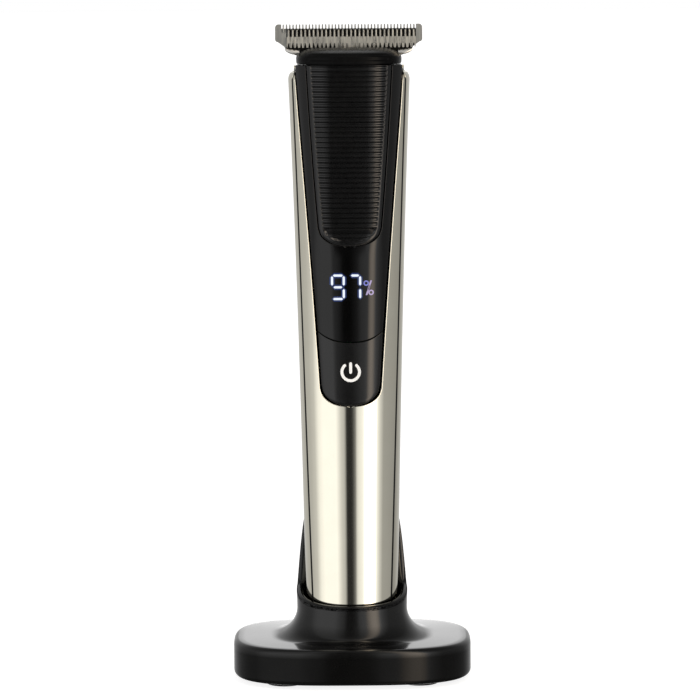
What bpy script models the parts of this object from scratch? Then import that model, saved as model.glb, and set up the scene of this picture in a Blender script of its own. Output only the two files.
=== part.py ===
"""Cordless T-blade body groomer standing in its charging stand.

Sizes are in millimetres and become metres when a mesh is made. The origin is the middle of the stand's
footprint on the table, +Z is up, the display faces -Y, and +X is to the right of someone facing it.
"""

from math import acos, cos, degrees, pi, radians, sin, sqrt

import bmesh
import bpy

MM = 0.001
GAP = 0.3  # between two pieces that touch or sit in one another

# Stand
BASE_HALF_WIDTH = 32.0
BASE_HALF_DEPTH = 25.0
BASE_POWER = 3.1  # 2 would be an ellipse, more is squarer
BASE_BOTTOM = 1.3
BASE_TOP = 10.7
BASE_WALL = 2.0
FLARE_RADIUS = 8.0
CUP_FLOOR = 12.0
CUP_CLEARANCE = 0.5
CUP_WALL = 2.0
CUP_FRONT_RIM = 20.3
RIM_FRONT = -14.5  # the rim's ends, along Y
RIM_BACK = 15.0
REST_START = 2.8  # where the rim turns up into the back rest, along Y
REST_END = 14.3
CUP_BACK_RIM = 55.4
FOOT_RADIUS = 5.0
FOOT_HEIGHT = 1.2
FOOT_X = 18.0
FOOT_Y = 13.0
SCREW_X = 25.0
SCREW_Y = 5.5
PIN_X = 4.0
PIN_RADIUS = 1.0
PIN_TOP = CUP_FLOOR + 0.5

# Groomer body
BODY_BOTTOM = CUP_FLOOR + GAP
SHELL_BOTTOM = 15.5
SHELL_TOP = 163.3
BODY_POWER = 2.5
FRONT_DEPTH = 0.92  # of the half width
REAR_DEPTH = 0.95
SHELL_WALL = 1.6
SEAM_SLACK = 0.022  # radians, for a gap of about 0.3 along the joint between the two shells

# Black face: fascia, ribbed thumb grip, power button
FACE_BOTTOM = 74.7
FACE_TOP = 165.2
FACE_WALL = 1.6
FACE_CORNER = 4.5
BUTTON_TOP = 91.75
BUTTON_ARC = 2.7  # rise of the dividing line from the middle to the sides
BUTTON_WALL = 2.2
BUTTON_ICON_Z = 83.85
ICON_RADIUS = 2.8
GRIP_BOTTOM = 117.4
GRIP_TOP = 165.2
GRIP_WALL = 1.8
GRIP_CORNER = 4.0
ARC_POWER = 2.5  # an arced edge is flat in the middle and turns up at its ends

# Drive
MOTOR_Y = -3.1
MOTOR_BOTTOM = 120.0
MOTOR_TOP = 146.0
MOTOR_RADIUS = 10.0
MOTOR_FLAT = 7.5
SHAFT_RADIUS = 1.0
SHAFT_FIT = 0.1
THROW = 0.9  # of the eccentric pin
CAM_BOTTOM = 152.0
CAM_TOP = 157.5
CAM_PIN_RADIUS = 0.8
CAM_PIN_TOP = 160.3

# Head
NECK_HALF_WIDTH = 14.5
NECK_JOINT = 165.6
BLADE_HALF_WIDTH = 19.6
BLADE_TOP = 175.7
FIXED_FRONT = -0.5
FIXED_BACK = 0.6
FIXED_PITCH = 0.87
FIXED_TEETH = 41
CUTTER_FRONT = -1.5
CUTTER_BACK = -0.6
CUTTER_TOP = 174.3
CUTTER_BOTTOM = 169.5
CUTTER_PITCH = 1.11
CUTTER_TEETH = 31
CUTTER_REST = 0.65  # where the cutter stands along X at rest

COLUMNS = 36
SHARP = radians(30)  # a sharper edge than this is shaded as an edge

axes = {}


# ---------------------------------------------------------------- materials and objects


def material(name, color, roughness, metallic=0.0):
    found = bpy.data.materials.get(name)
    if found:
        return found
    made = bpy.data.materials.new(name)
    made.use_nodes = True
    made.diffuse_color = (*color, 1.0)
    shader = made.node_tree.nodes["Principled BSDF"]
    shader.inputs["Base Color"].default_value = (*color, 1.0)
    shader.inputs["Roughness"].default_value = roughness
    shader.inputs["Metallic"].default_value = metallic
    return made


def satin_black():
    return material("satin_black_plastic", (0.018, 0.018, 0.018), 0.35)


def gloss_black():
    return material("gloss_black_plastic", (0.010, 0.010, 0.011), 0.08)


def champagne_chrome():
    return material("champagne_chrome", (0.93, 0.90, 0.82), 0.06, 1.0)


def steel():
    return material("steel", (0.55, 0.54, 0.50), 0.30, 1.0)


def joint_axis(name, place, parent=None):
    """An empty on a joint's axis, which carries the pieces that the joint moves."""
    empty = bpy.data.objects.new(f"{name}_axis", None)
    empty.empty_display_size = 5 * MM
    bpy.context.scene.collection.objects.link(empty)
    axes[name] = (empty, place)
    attach(empty, place, parent)


def attach(obj, place, parent):
    """Puts obj at a world place, as a child of the named joint axis."""
    origin = (0.0, 0.0, 0.0)
    if parent:
        obj.parent, origin = axes[parent]
    obj.location = [(at - start) * MM for at, start in zip(place, origin)]


def solid(name, mesh_data, finish, parent=None):
    """An object from a bmesh in world millimetres. Its origin is its joint axis, or the world's."""
    place = axes[parent][1] if parent else (0.0, 0.0, 0.0)
    bmesh.ops.translate(mesh_data, verts=mesh_data.verts, vec=[-value for value in place])
    bmesh.ops.scale(mesh_data, verts=mesh_data.verts, vec=(MM, MM, MM))
    bmesh.ops.recalc_face_normals(mesh_data, faces=mesh_data.faces)
    mesh = bpy.data.meshes.new(name)
    mesh_data.to_mesh(mesh)
    mesh_data.free()
    mesh.materials.append(finish)
    mesh.shade_smooth()
    mesh.set_sharp_from_angle(angle=SHARP)
    obj = bpy.data.objects.new(name, mesh)
    bpy.context.scene.collection.objects.link(obj)
    attach(obj, place, parent)
    return obj


def combine(target, other, operation="DIFFERENCE"):
    """Cuts other from target, or joins it on, with a Boolean modifier. other becomes a hidden helper."""
    other.hide_render = True
    other.display_type = "WIRE"
    modifier = target.modifiers.new(other.name, "BOOLEAN")
    modifier.object = other
    modifier.operation = operation
    modifier.solver = "EXACT"


# ---------------------------------------------------------------- mesh helpers


def loft(rings, closed=False):
    """A solid through rings of points. Its ends are capped, or joined to each other if closed."""
    made = bmesh.new()
    rows = [[made.verts.new(point) for point in ring] for ring in rings]
    count = len(rows[0])
    pairs = list(zip(rows, rows[1:]))
    if closed:
        pairs.append((rows[-1], rows[0]))
    else:
        made.faces.new(rows[0])
        made.faces.new(rows[-1])
    for low, high in pairs:
        for i in range(count):
            j = (i + 1) % count
            made.faces.new((low[i], low[j], high[j], high[i]))
    return made


def lathe(profile, x=0.0, y=0.0, sides=20):
    """A turned solid about the vertical line through (x, y), from (radius, z) points."""
    return loft([circle(radius, z, x, y, sides) for radius, z in profile])


def circle(radius, z, x=0.0, y=0.0, sides=20):
    angles = [2 * pi * i / sides for i in range(sides)]
    return [(x + radius * cos(angle), y + radius * sin(angle), z) for angle in angles]


def bar_y(radius, x, z, front, back, sides=16):
    """A round bar along Y."""
    angles = [2 * pi * i / sides for i in range(sides)]
    outline = [(radius * cos(angle), radius * sin(angle)) for angle in angles]
    return loft([[(x + u, y, z + v) for u, v in outline] for y in (front, back)])


def box(low, high):
    corners = [(low[0], low[1]), (high[0], low[1]), (high[0], high[1]), (low[0], high[1])]
    return loft([[(x, y, z) for x, y in corners] for z in (low[2], high[2])])


def prism_y(outline, front, back):
    """An outline of (x, z) points, extruded along Y."""
    return loft([[(x, y, z) for x, z in outline] for y in (front, back)])


def slab(front, back):
    """A closed solid between two equal grids of points."""
    made = bmesh.new()
    grids = [[[made.verts.new(point) for point in row] for row in grid] for grid in (front, back)]
    rows = len(front)
    columns = len(front[0])
    for grid in grids:
        for r in range(rows - 1):
            for c in range(columns - 1):
                made.faces.new((grid[r][c], grid[r][c + 1], grid[r + 1][c + 1], grid[r + 1][c]))
    near, far = grids
    for r in range(rows - 1):
        for c in (0, columns - 1):
            made.faces.new((near[r][c], near[r + 1][c], far[r + 1][c], far[r][c]))
    for c in range(columns - 1):
        for r in (0, rows - 1):
            made.faces.new((near[r][c], near[r][c + 1], far[r][c + 1], far[r][c]))
    return made


def spread(low, high, steps):
    return [low + (high - low) * i / steps for i in range(steps + 1)]


# ---------------------------------------------------------------- the groomer's form


def half_width(z):
    """Half width of the groomer, which widens slowly from its foot to its shoulders."""
    t = (z - 28.0) / 133.0
    return 12.55 + 2.8 * t + 0.9 * t**3


def power_point(angle, width, front, rear, power):
    """A point on a superellipse: x out to width, y to -front and +rear."""
    c, s = cos(angle), sin(angle)
    depth = rear if s > 0 else front
    x = width * abs(c) ** (2 / power) * (1 if c > 0 else -1)
    y = depth * abs(s) ** (2 / power) * (1 if s > 0 else -1)
    return x, y


def body_point(angle, z, inset):
    width = half_width(z)
    x, y = power_point(
        angle, width - inset, FRONT_DEPTH * width - inset, REAR_DEPTH * width - inset, BODY_POWER
    )
    return x, y, z


def body_ring(z, inset):
    return [body_point(2 * pi * i / COLUMNS, z, inset) for i in range(COLUMNS)]


def front_y(x, z):
    """Y of the groomer's front surface."""
    width = half_width(z)
    return -FRONT_DEPTH * width * (1 - abs(x / width) ** BODY_POWER) ** (1 / BODY_POWER)


def face_side(z):
    """Half width of the whole black face."""
    rise = z - 79.2
    return 8.0 + 0.0655 * rise + 0.00011 * rise**2


def grip_side(z):
    """Half width of the ribbed grip."""
    return 7.95 + 0.0905 * (z - GRIP_BOTTOM) - 0.0004 * (z - GRIP_BOTTOM) ** 2


def rounded(side, z, bottom, corner):
    """side(z), drawn in near the bottom by a corner radius."""
    rise = z - bottom
    if rise >= corner:
        return side(z)
    return side(z) - corner + sqrt(corner**2 - (corner - rise) ** 2)


def face_rows(bottom, top, corner, steps):
    """Heights for a face plate, close together round its lower corners."""
    if not corner:
        return spread(bottom, top, steps)
    turns = [corner * (1 - cos(pi / 2 * i / 4)) for i in range(4)]
    return [bottom + turn for turn in turns] + spread(bottom + corner, top, steps)


def face_plate(side, bottom, top, wall, corner=0.0, arcs=(0.0, 0.0), inset=0.0, steps=8, columns=10):
    """A plate that follows the groomer's front. arcs are the rise of its lower and upper edge at the sides."""
    front = []
    for z in face_rows(bottom, top, corner, steps):
        along = (z - bottom) / (top - bottom)
        rise = arcs[0] + (arcs[1] - arcs[0]) * along
        width = rounded(side, z, bottom, corner) - inset if corner else side(z) - inset
        row = []
        for u in spread(-1.0, 1.0, columns):
            x, height = u * width, z + rise * abs(u) ** ARC_POWER
            row.append((x, front_y(x, height), height))
        front.append(row)
    back = [[(x, y + wall, z) for x, y, z in row] for row in front]
    return slab(front, back)


def face_cutter(side, bottom, top, corner, grow):
    """The outline of a face plate grown by a gap, as a block that passes through the front wall."""
    rows = face_rows(bottom - grow, top, corner, 10)
    right = [(rounded(side, z, bottom - grow, corner) + grow, z) for z in rows]
    left = [(-x, z) for x, z in reversed(right)]
    return prism_y(right + left, -20.0, -2.0)


# ---------------------------------------------------------------- stand


def rim_height(y):
    """Height of the cup's rim: a gentle slope from the front that turns up into a back rest."""
    rise = CUP_BACK_RIM - CUP_FRONT_RIM
    slope = min(1.0, max(0.0, (y - RIM_FRONT) / (RIM_BACK - RIM_FRONT)))
    turn = min(1.0, max(0.0, (y - REST_START) / (REST_END - REST_START)))
    return CUP_FRONT_RIM + rise * (0.2 * slope + 0.8 * turn * turn * (3 - 2 * turn))


def base_ring(grow, z):
    ring = []
    for i in range(COLUMNS):
        angle = 2 * pi * i / COLUMNS
        width, depth = BASE_HALF_WIDTH + grow, BASE_HALF_DEPTH + grow
        ring.append((*power_point(angle, width, depth, depth, BASE_POWER), z))
    return ring


def blend_rings(first, second, share, z):
    """A ring part of the way from one to another, at one height."""
    return [
        (a[0] + (b[0] - a[0]) * share, a[1] + (b[1] - a[1]) * share, z) for a, b in zip(first, second)
    ]


def rim_ring(grow, start, share):
    """A ring of the cup's wall, part of the way from height start to the slanting rim."""
    ring = []
    for i in range(COLUMNS):
        angle = 2 * pi * i / COLUMNS
        y = body_point(angle, start, -grow)[1]
        ring.append(body_point(angle, start + (rim_height(y) - start) * share, -grow))
    return ring


def stand_rings():
    """From the ceiling of the base's hollow, round its wall, over the flare and the rim, to the cup's floor."""
    cup_out = CUP_CLEARANCE + CUP_WALL
    tower_foot = BASE_TOP + FLARE_RADIUS
    tower = rim_ring(cup_out, tower_foot, 0.0)
    rings = [
        blend_rings(tower, base_ring(-BASE_WALL, 0), 0.1, CUP_FLOOR - 1.6),
        blend_rings(tower, base_ring(-BASE_WALL, 0), 0.3, BASE_TOP - 1.8),
        base_ring(-BASE_WALL - 0.8, BASE_TOP - 2.2),
        base_ring(-BASE_WALL, BASE_BOTTOM + 2.0),
        base_ring(-BASE_WALL, BASE_BOTTOM),
        base_ring(-1.2, BASE_BOTTOM),
        base_ring(-0.3, BASE_BOTTOM + 1.2),
        base_ring(0.0, BASE_BOTTOM + 4.0),
        base_ring(0.0, BASE_TOP - 1.0),
        base_ring(-0.4, BASE_TOP - 0.2),
        base_ring(-1.4, BASE_TOP + 0.2),
    ]
    reach = FLARE_RADIUS / (BASE_HALF_WIDTH - half_width(tower_foot) - cup_out)
    for turn in spread(0.0, pi / 2, 5):
        share = 1 - reach * (1 - sin(turn))
        lift = FLARE_RADIUS * (1 - cos(turn))
        rings.append(blend_rings(base_ring(-1.4, 0), tower, share, BASE_TOP + 0.9 + lift - 0.9 * sin(turn)))
    rings += [rim_ring(cup_out, tower_foot, share) for share in (0.35, 0.7, 0.97)]
    rings += [rim_ring(cup_out - 0.5, tower_foot, 1.0), rim_ring(CUP_CLEARANCE + 0.4, tower_foot, 1.0)]
    rings += [rim_ring(CUP_CLEARANCE, tower_foot, share) for share in (0.95, 0.6, 0.2)]
    rings.append(body_ring(CUP_FLOOR, -CUP_CLEARANCE))
    return rings


def corners(x, y):
    return [(x, y), (-x, y), (-x, -y), (x, -y)]


def make_stand_body():
    body = solid("stand_body", loft(stand_rings()), satin_black())
    for index, (x, y) in enumerate(corners(SCREW_X, SCREW_Y)):
        boss = lathe([(2.6, BASE_BOTTOM + 2.4), (2.6, BASE_TOP - 1.0)], x, y, 16)
        combine(body, solid(f"boss_{index}", boss, satin_black()), "UNION")
    for index, (x, y) in enumerate(corners(SCREW_X, SCREW_Y)):
        hole = lathe([(1.3, BASE_BOTTOM), (1.3, BASE_TOP - 2.4)], x, y, 12)
        combine(body, solid(f"boss_hole_{index}", hole, satin_black()))
    for side in (-1, 1):
        hole = lathe([(PIN_RADIUS + GAP, 8.0), (PIN_RADIUS + GAP, 14.0)], side * PIN_X, 0.0, 12)
        combine(body, solid(f"pin_hole_{side}", hole, satin_black()))
    mouth = box((-4.8, 20.0, 3.4), (4.8, 30.0, 7.2))
    combine(body, solid("socket_mouth", mouth, satin_black()))


def make_base():
    plate_low, plate_high = BASE_BOTTOM + 0.2, BASE_BOTTOM + 1.8
    inset = -BASE_WALL - GAP
    plate = solid(
        "stand_base_plate",
        loft([base_ring(inset, plate_low), base_ring(inset, plate_high)]),
        satin_black(),
    )
    rubber = material("foot_rubber", (0.02, 0.02, 0.02), 0.9)
    for index, (x, y) in enumerate(corners(SCREW_X, SCREW_Y)):
        profile = [(2.3, plate_low - 1), (2.3, plate_low + 0.9), (1.3, plate_low + 0.9), (1.3, plate_high + 1)]
        combine(plate, solid(f"screw_recess_{index}", lathe(profile, x, y, 12), satin_black()))
        profile = [(2.0, plate_low + 0.1), (2.0, plate_low + 0.6), (1.0, plate_low + 0.6), (1.0, 6.6)]
        solid(f"base_screw_{index + 1}", lathe(profile, x, y, 12), steel())
    for index, (x, y) in enumerate(corners(FOOT_X, FOOT_Y)):
        profile = [(FOOT_RADIUS - 0.3, 0.0), (FOOT_RADIUS, 0.3), (FOOT_RADIUS, FOOT_HEIGHT)]
        solid(f"stand_foot_{index + 1}", lathe(profile, x, y, 16), rubber)


def make_stand_electrics():
    board = material("circuit_board", (0.02, 0.12, 0.05), 0.5)
    solid("stand_pcb", box((-12.0, -14.0, 3.9), (12.0, 16.0, 5.1)), board)
    socket = solid("charge_socket", box((-4.5, 16.6, 3.7), (4.5, 24.2, 6.9)), steel())
    mouth = box((-4.0, 19.0, 4.1), (4.0, 26.0, 6.5))
    combine(socket, solid("socket_slot", mouth, steel()))
    block = solid("contact_block", box((-7.0, -3.0, 7.0), (7.0, 3.0, 10.1)), satin_black())
    for side in (-1, 1):
        bore = lathe([(PIN_RADIUS + GAP, 5.0), (PIN_RADIUS + GAP, 12.0)], side * PIN_X, 0.0, 12)
        combine(block, solid(f"block_bore_{side}", bore, satin_black()))


def make_charge_pins():
    gold = material("gold_plate", (0.83, 0.62, 0.25), 0.25, 1.0)
    for name, side in (("left", -1), ("right", 1)):
        axis = f"charge_pin_{name}"
        joint_axis(axis, (side * PIN_X, 0.0, PIN_TOP))
        profile = [(PIN_RADIUS, 7.3), (PIN_RADIUS, PIN_TOP - 0.4), (0.6, PIN_TOP)]
        solid(f"charge_pin_{name}", lathe(profile, side * PIN_X, 0.0, 12), gold, axis)


# ---------------------------------------------------------------- groomer shells and face


def seam_angle(z):
    """Where the two shells meet, forward of the widest point. The joint leans to the front lower down."""
    down = (SHELL_TOP - z) / (SHELL_TOP - SHELL_BOTTOM)
    return radians(25.5 + 11.5 * down**2)


def shell_strip(start, end, columns):
    """A stretch of the body's wall between two angles at each height, from its foot to its shoulders."""
    heights = spread(SHELL_BOTTOM, SHELL_TOP - 1.5, 12) + [SHELL_TOP]
    grids = []
    for inset in (0.0, SHELL_WALL):
        shoulder = {SHELL_TOP: 0.5, SHELL_BOTTOM: 0.5}
        grids.append(
            [
                [
                    body_point(angle, z, max(inset, shoulder.get(z, 0.0)))
                    for angle in spread(start(z), end(z), columns)
                ]
                for z in heights
            ]
        )
    return slab(*grids)


def make_shells():
    strip = shell_strip(lambda z: seam_angle(z) - pi, lambda z: -seam_angle(z), 22)
    front = solid("front_shell", strip, champagne_chrome(), "groomer")
    opening = face_cutter(face_side, FACE_BOTTOM, SHELL_TOP + 5, FACE_CORNER, GAP)
    combine(front, solid("face_opening", opening, champagne_chrome()))
    strip = shell_strip(lambda z: SEAM_SLACK - seam_angle(z), lambda z: pi + seam_angle(z) - SEAM_SLACK, 30)
    solid("rear_shell", strip, champagne_chrome(), "groomer")


def make_fascia():
    plate = face_plate(
        face_side, BUTTON_TOP + GAP, FACE_TOP, FACE_WALL, arcs=(BUTTON_ARC, 0.0), inset=GAP, steps=12, columns=12
    )
    fascia = solid("display_fascia", plate, gloss_black(), "groomer")
    pocket = face_cutter(grip_side, GRIP_BOTTOM, GRIP_TOP + 5, GRIP_CORNER, GAP)
    combine(fascia, solid("grip_pocket", pocket, gloss_black()))


def make_grip():
    plate = face_plate(grip_side, GRIP_BOTTOM, GRIP_TOP, GRIP_WALL, GRIP_CORNER, steps=10)
    solid("thumb_grip", plate, material("grip_rubber", (0.02, 0.02, 0.02), 0.5), "groomer")


def make_button():
    joint_axis("power_button", (0.0, front_y(0.0, BUTTON_ICON_Z), BUTTON_ICON_Z), "groomer")
    plate = face_plate(
        face_side, FACE_BOTTOM, BUTTON_TOP - GAP, BUTTON_WALL, FACE_CORNER, (0.0, BUTTON_ARC), GAP, 6
    )
    button = solid("power_button", plate, gloss_black(), "power_button")
    front = front_y(0.0, BUTTON_ICON_Z)
    groove = bar_y(ICON_RADIUS + GAP, 0.0, BUTTON_ICON_Z, front - 1.0, front + 0.9, 20)
    combine(button, solid("icon_pocket", groove, gloss_black()))
    white = material("icon_white", (0.9, 0.9, 0.9), 0.4)
    solid(
        "power_icon",
        bar_y(ICON_RADIUS, 0.0, BUTTON_ICON_Z, front, front + 0.6, 20),
        white,
        "power_button",
    )


def make_foot_cap():
    rings = [body_ring(BODY_BOTTOM, 1.4), body_ring(BODY_BOTTOM + 1.0, 0.5), body_ring(SHELL_BOTTOM - GAP, 0.3)]
    cap = solid("bottom_cap", loft(rings), satin_black(), "groomer")
    gold = material("gold_plate", (0.83, 0.62, 0.25), 0.25, 1.0)
    for name, side in (("left", -1), ("right", 1)):
        hole = lathe([(2.3, BODY_BOTTOM - 1), (2.3, SHELL_BOTTOM + 1)], side * PIN_X, 0.0, 16)
        combine(cap, solid(f"contact_hole_{name}", hole, satin_black()))
        low = PIN_TOP + GAP
        solid(
            f"charge_contact_{name}",
            lathe([(2.0, low), (2.0, low + 2.4)], side * PIN_X, 0.0, 16),
            gold,
            "groomer",
        )


def make_collar():
    """The black ring that closes the top of the body round the head's plug."""
    rings = []
    for z, side, front, rear in (
        (151.0, 13.6, 12.0, 12.8),
        (SHELL_TOP + 0.1, 14.2, 12.0, 13.4),
        (SHELL_TOP + GAP, 15.4, 12.0, 14.8),
        (164.7, 15.2, 11.9, 14.6),
        (NECK_JOINT - GAP, 14.3, 11.6, 13.8),
        (NECK_JOINT - GAP, 12.2, 9.7, 10.8),
        (151.0, 12.0, 10.0, 11.0),
    ):
        angles = [2 * pi * i / COLUMNS for i in range(COLUMNS)]
        rings.append([(*power_point(angle, side, front, rear, BODY_POWER), z) for angle in angles])
    solid("neck_collar", loft(rings, closed=True), satin_black(), "groomer")


# ---------------------------------------------------------------- inside the groomer


def make_chassis():
    """An E-shaped frame: a spine along the back, and shelves under the circuit board and the motor."""
    front, back, rear = -6.8, 8.0, 9.0
    outline = [
        (rear, 17.0),
        (rear, MOTOR_TOP),
        (back, MOTOR_TOP),
        (back, 118.6),
        (front, 118.6),
        (front, 117.2),
        (back, 117.2),
        (back, 75.2),
        (front, 75.2),
        (front, 73.8),
        (back, 73.8),
        (back, 18.4),
        (front, 18.4),
        (front, 17.0),
    ]
    frame = loft([[(x, y, z) for y, z in outline] for x in (-5.5, 5.5)])
    solid("inner_chassis", frame, material("chassis_plastic", (0.55, 0.55, 0.53), 0.5), "groomer")


def make_battery():
    cell = [(6.6, 20.0), (7.1, 20.4), (7.1, 69.0), (6.6, 69.4), (2.6, 69.4), (2.6, 70.4)]
    solid(
        "battery_cell",
        lathe(cell, 0.0, 0.5, 24),
        material("cell_wrap", (0.05, 0.20, 0.35), 0.35),
        "groomer",
    )
    for name, low in (("lower", 19.1), ("upper", 70.8)):
        solid(f"battery_tab_{name}", box((-3.0, -5.0, low), (3.0, 6.0, low + 0.4)), steel(), "groomer")


def make_electronics():
    board = material("circuit_board", (0.02, 0.12, 0.05), 0.5)
    pcb = solid("main_pcb", box((-8.0, -8.4, 77.0), (8.0, -7.2, 116.5)), board, "groomer")
    for name, x, z in (("lower", -6.2, 96.5), ("upper", 6.2, 114.5)):
        combine(pcb, solid(f"pcb_hole_{name}", bar_y(1.1, x, z, -9.5, -6.0, 12), board))
        screw = solid(f"pcb_screw_{name}", bar_y(1.5, x, z, -9.4, -8.7, 12), steel(), "groomer")
        combine(screw, solid(f"pcb_shank_{name}", bar_y(0.8, x, z, -9.0, -7.2, 12), steel()), "UNION")
    solid(
        "display_module",
        box((-7.6, -10.2, 100.8), (7.6, -8.7, 112.4)),
        material("display_white", (0.8, 0.8, 0.8), 0.5),
        "groomer",
    )
    low, high = BUTTON_ICON_Z - 2.2, BUTTON_ICON_Z + 2.2
    front = front_y(0.0, BUTTON_ICON_Z) + BUTTON_WALL + 0.6
    solid("tact_switch", box((-2.2, front, low), (2.2, -8.7, high)), steel(), "groomer")


def make_motor():
    """A can with two flats, a bearing boss on top, and its mounting plate."""
    half = degrees(acos(MOTOR_FLAT / MOTOR_RADIUS))
    arc = [radians(half - 90 + (180 - 2 * half) * i / 6) for i in range(7)]
    side = [(MOTOR_RADIUS * cos(turn), MOTOR_RADIUS * sin(turn)) for turn in arc]
    outline = side + [(-x, -y) for x, y in side]
    can = loft([[(x, MOTOR_Y + y, z) for x, y in outline] for z in (MOTOR_BOTTOM, MOTOR_TOP)])
    motor = solid("motor", can, steel(), "groomer")
    boss = lathe([(3.0, MOTOR_TOP - 1), (3.0, MOTOR_TOP + 1.6)], 0.0, MOTOR_Y)
    combine(motor, solid("bearing_boss", boss, steel()), "UNION")
    bore = lathe([(SHAFT_RADIUS + SHAFT_FIT, 141.0), (SHAFT_RADIUS + SHAFT_FIT, 150.0)], 0.0, MOTOR_Y)
    combine(motor, solid("shaft_bore", bore, steel()))
    low, high = MOTOR_TOP + GAP, MOTOR_TOP + 1.9
    finish = material("chassis_plastic", (0.55, 0.55, 0.53), 0.5)
    mount = solid("motor_mount", box((-10.0, -10.0, low), (10.0, 9.0, high)), finish, "groomer")
    hole = lathe([(3.4, low - 1), (3.4, high + 1)], 0.0, MOTOR_Y)
    combine(mount, solid("mount_hole", hole, finish))
    for name, x in (("left", -6.5), ("right", 6.5)):
        bore = lathe([(1.1, low - 1), (1.1, high + 1)], x, MOTOR_Y, 12)
        combine(mount, solid(f"mount_bore_{name}", bore, finish))
        profile = [(0.8, low), (0.8, high + GAP), (1.6, high + GAP), (1.6, high + 1.2)]
        solid(f"motor_screw_{name}", lathe(profile, x, MOTOR_Y, 12), steel(), "groomer")


def make_rotor():
    joint_axis("motor_rotor", (0.0, MOTOR_Y, MOTOR_TOP), "groomer")
    shaft = [(SHAFT_RADIUS, 142.0), (SHAFT_RADIUS, CAM_BOTTOM + 2.3)]
    solid("motor_shaft", lathe(shaft, 0.0, MOTOR_Y), steel(), "motor_rotor")
    nylon = material("nylon_white", (0.85, 0.85, 0.82), 0.45)
    cam = solid("eccentric_cam", lathe([(3.5, CAM_BOTTOM), (3.5, CAM_TOP)], 0.0, MOTOR_Y), nylon, "motor_rotor")
    socket = lathe([(SHAFT_RADIUS + GAP, CAM_BOTTOM - 1), (SHAFT_RADIUS + GAP, CAM_BOTTOM + 2.6)], 0.0, MOTOR_Y)
    combine(cam, solid("cam_shaft_hole", socket, nylon))
    turn = acos(CUTTER_REST / THROW)
    x, y = THROW * cos(turn), MOTOR_Y + THROW * sin(turn)
    seat = lathe([(CAM_PIN_RADIUS + GAP, CAM_TOP - 2.2), (CAM_PIN_RADIUS + GAP, CAM_TOP + 1)], x, y, 16)
    combine(cam, solid("cam_pin_hole", seat, nylon))
    pin = [(CAM_PIN_RADIUS, CAM_TOP - 1.9), (CAM_PIN_RADIUS, CAM_PIN_TOP)]
    solid("cam_pin", lathe(pin, x, y, 16), steel(), "motor_rotor")


# ---------------------------------------------------------------- head


def make_head_housing():
    """The black head: a plug that goes down into the collar, and a shoulder that holds the blades."""
    rings = []
    for z, side, front, rear in (
        (158.0, 11.2, 8.8, 9.8),
        (NECK_JOINT, 11.4, 8.9, 10.0),
        (NECK_JOINT, 14.2, 14.3, 13.6),
        (NECK_JOINT + 0.4, NECK_HALF_WIDTH, 14.6, 13.8),
        (NECK_JOINT + 1.4, NECK_HALF_WIDTH, 13.8, 12.2),
        (NECK_JOINT + 2.3, 13.4, 11.6, 9.4),
        (NECK_JOINT + 3.1, 11.6, 8.6, 6.4),
        (NECK_JOINT + 3.5, 9.4, 6.0, 3.6),
    ):
        angles = [2 * pi * i / COLUMNS for i in range(COLUMNS)]
        rings.append([(*power_point(angle, side, front, rear, BODY_POWER), z) for angle in angles])
    housing = solid("head_housing", loft(rings), satin_black(), "head")
    blade_slot = box((-16.0, -3.0, 166.0), (16.0, FIXED_BACK + GAP, 172.0))
    stem_slot = box((-9.5, CUTTER_BACK - GAP, 159.5), (9.5, 4.4, 172.0))
    drive_slot = box((-5.5, -5.0, 150.0), (5.5, 0.2, 166.1))
    for name, cutter in (("blade_slot", blade_slot), ("stem_slot", stem_slot), ("drive_slot", drive_slot)):
        combine(housing, solid(name, cutter, satin_black()))


def comb(count, pitch, centre, low, high, share):
    """The (x, z) points of a row of teeth, from left to right. share is a tooth's part of the pitch."""
    points = []
    start = centre - pitch * count / 2
    for i in range(count):
        left = start + i * pitch
        root = (1 - share) / 2 * pitch
        tip = root + 0.12 * pitch
        points += [
            (left + root * 0.6, low),
            (left + tip, high),
            (left + pitch - tip, high),
            (left + pitch - root * 0.6, low),
        ]
    return points


def make_fixed_blade():
    guard = FIXED_PITCH * FIXED_TEETH / 2
    end = BLADE_HALF_WIDTH
    root = BLADE_TOP - 2.3
    teeth = comb(FIXED_TEETH, FIXED_PITCH, 0.0, root, BLADE_TOP, 0.55)
    right = [
        (guard + 0.5, BLADE_TOP),
        (end - 1.0, BLADE_TOP),
        (end, BLADE_TOP - 1.0),
        (end, 171.8),
        (end - 0.7, 171.1),
        (17.1, 169.7),
        (16.4, 168.6),
        (15.3, 167.8),
        (13.0, 167.3),
        (9.0, 166.9),
        (9.0, 160.0),
    ]
    outline = teeth + right + [(-x, z) for x, z in reversed(right)]
    blade = solid("fixed_blade", prism_y(outline, FIXED_FRONT, FIXED_BACK), steel(), "head")
    for name, x in (("left", -7.0), ("right", 7.0)):
        hole = bar_y(1.1, x, 163.4, FIXED_FRONT - 1, FIXED_BACK + 1, 12)
        combine(blade, solid(f"blade_hole_{name}", hole, steel()))


def make_blade_hardware():
    back = FIXED_BACK + GAP
    bracket = solid("blade_bracket", box((-9.0, back, 160.0), (9.0, back + 1.2, 166.6)), steel(), "head")
    for name, x in (("left", -7.0), ("right", 7.0)):
        hole = bar_y(1.1, x, 163.4, back - 1, back + 2, 12)
        combine(bracket, solid(f"bracket_hole_{name}", hole, steel()))
        screw = bar_y(1.7, x, 163.4, back + 1.5, back + 2.6, 12)
        shank = bar_y(0.8, x, 163.4, FIXED_FRONT + 0.1, back + 2.0, 12)
        piece = solid(f"blade_screw_{name}", screw, steel(), "head")
        combine(piece, solid(f"blade_shank_{name}", shank, steel()), "UNION")
    solid("blade_spring", box((-10.5, -2.6, 166.6), (10.5, -2.1, 168.3)), steel(), "head")


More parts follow.
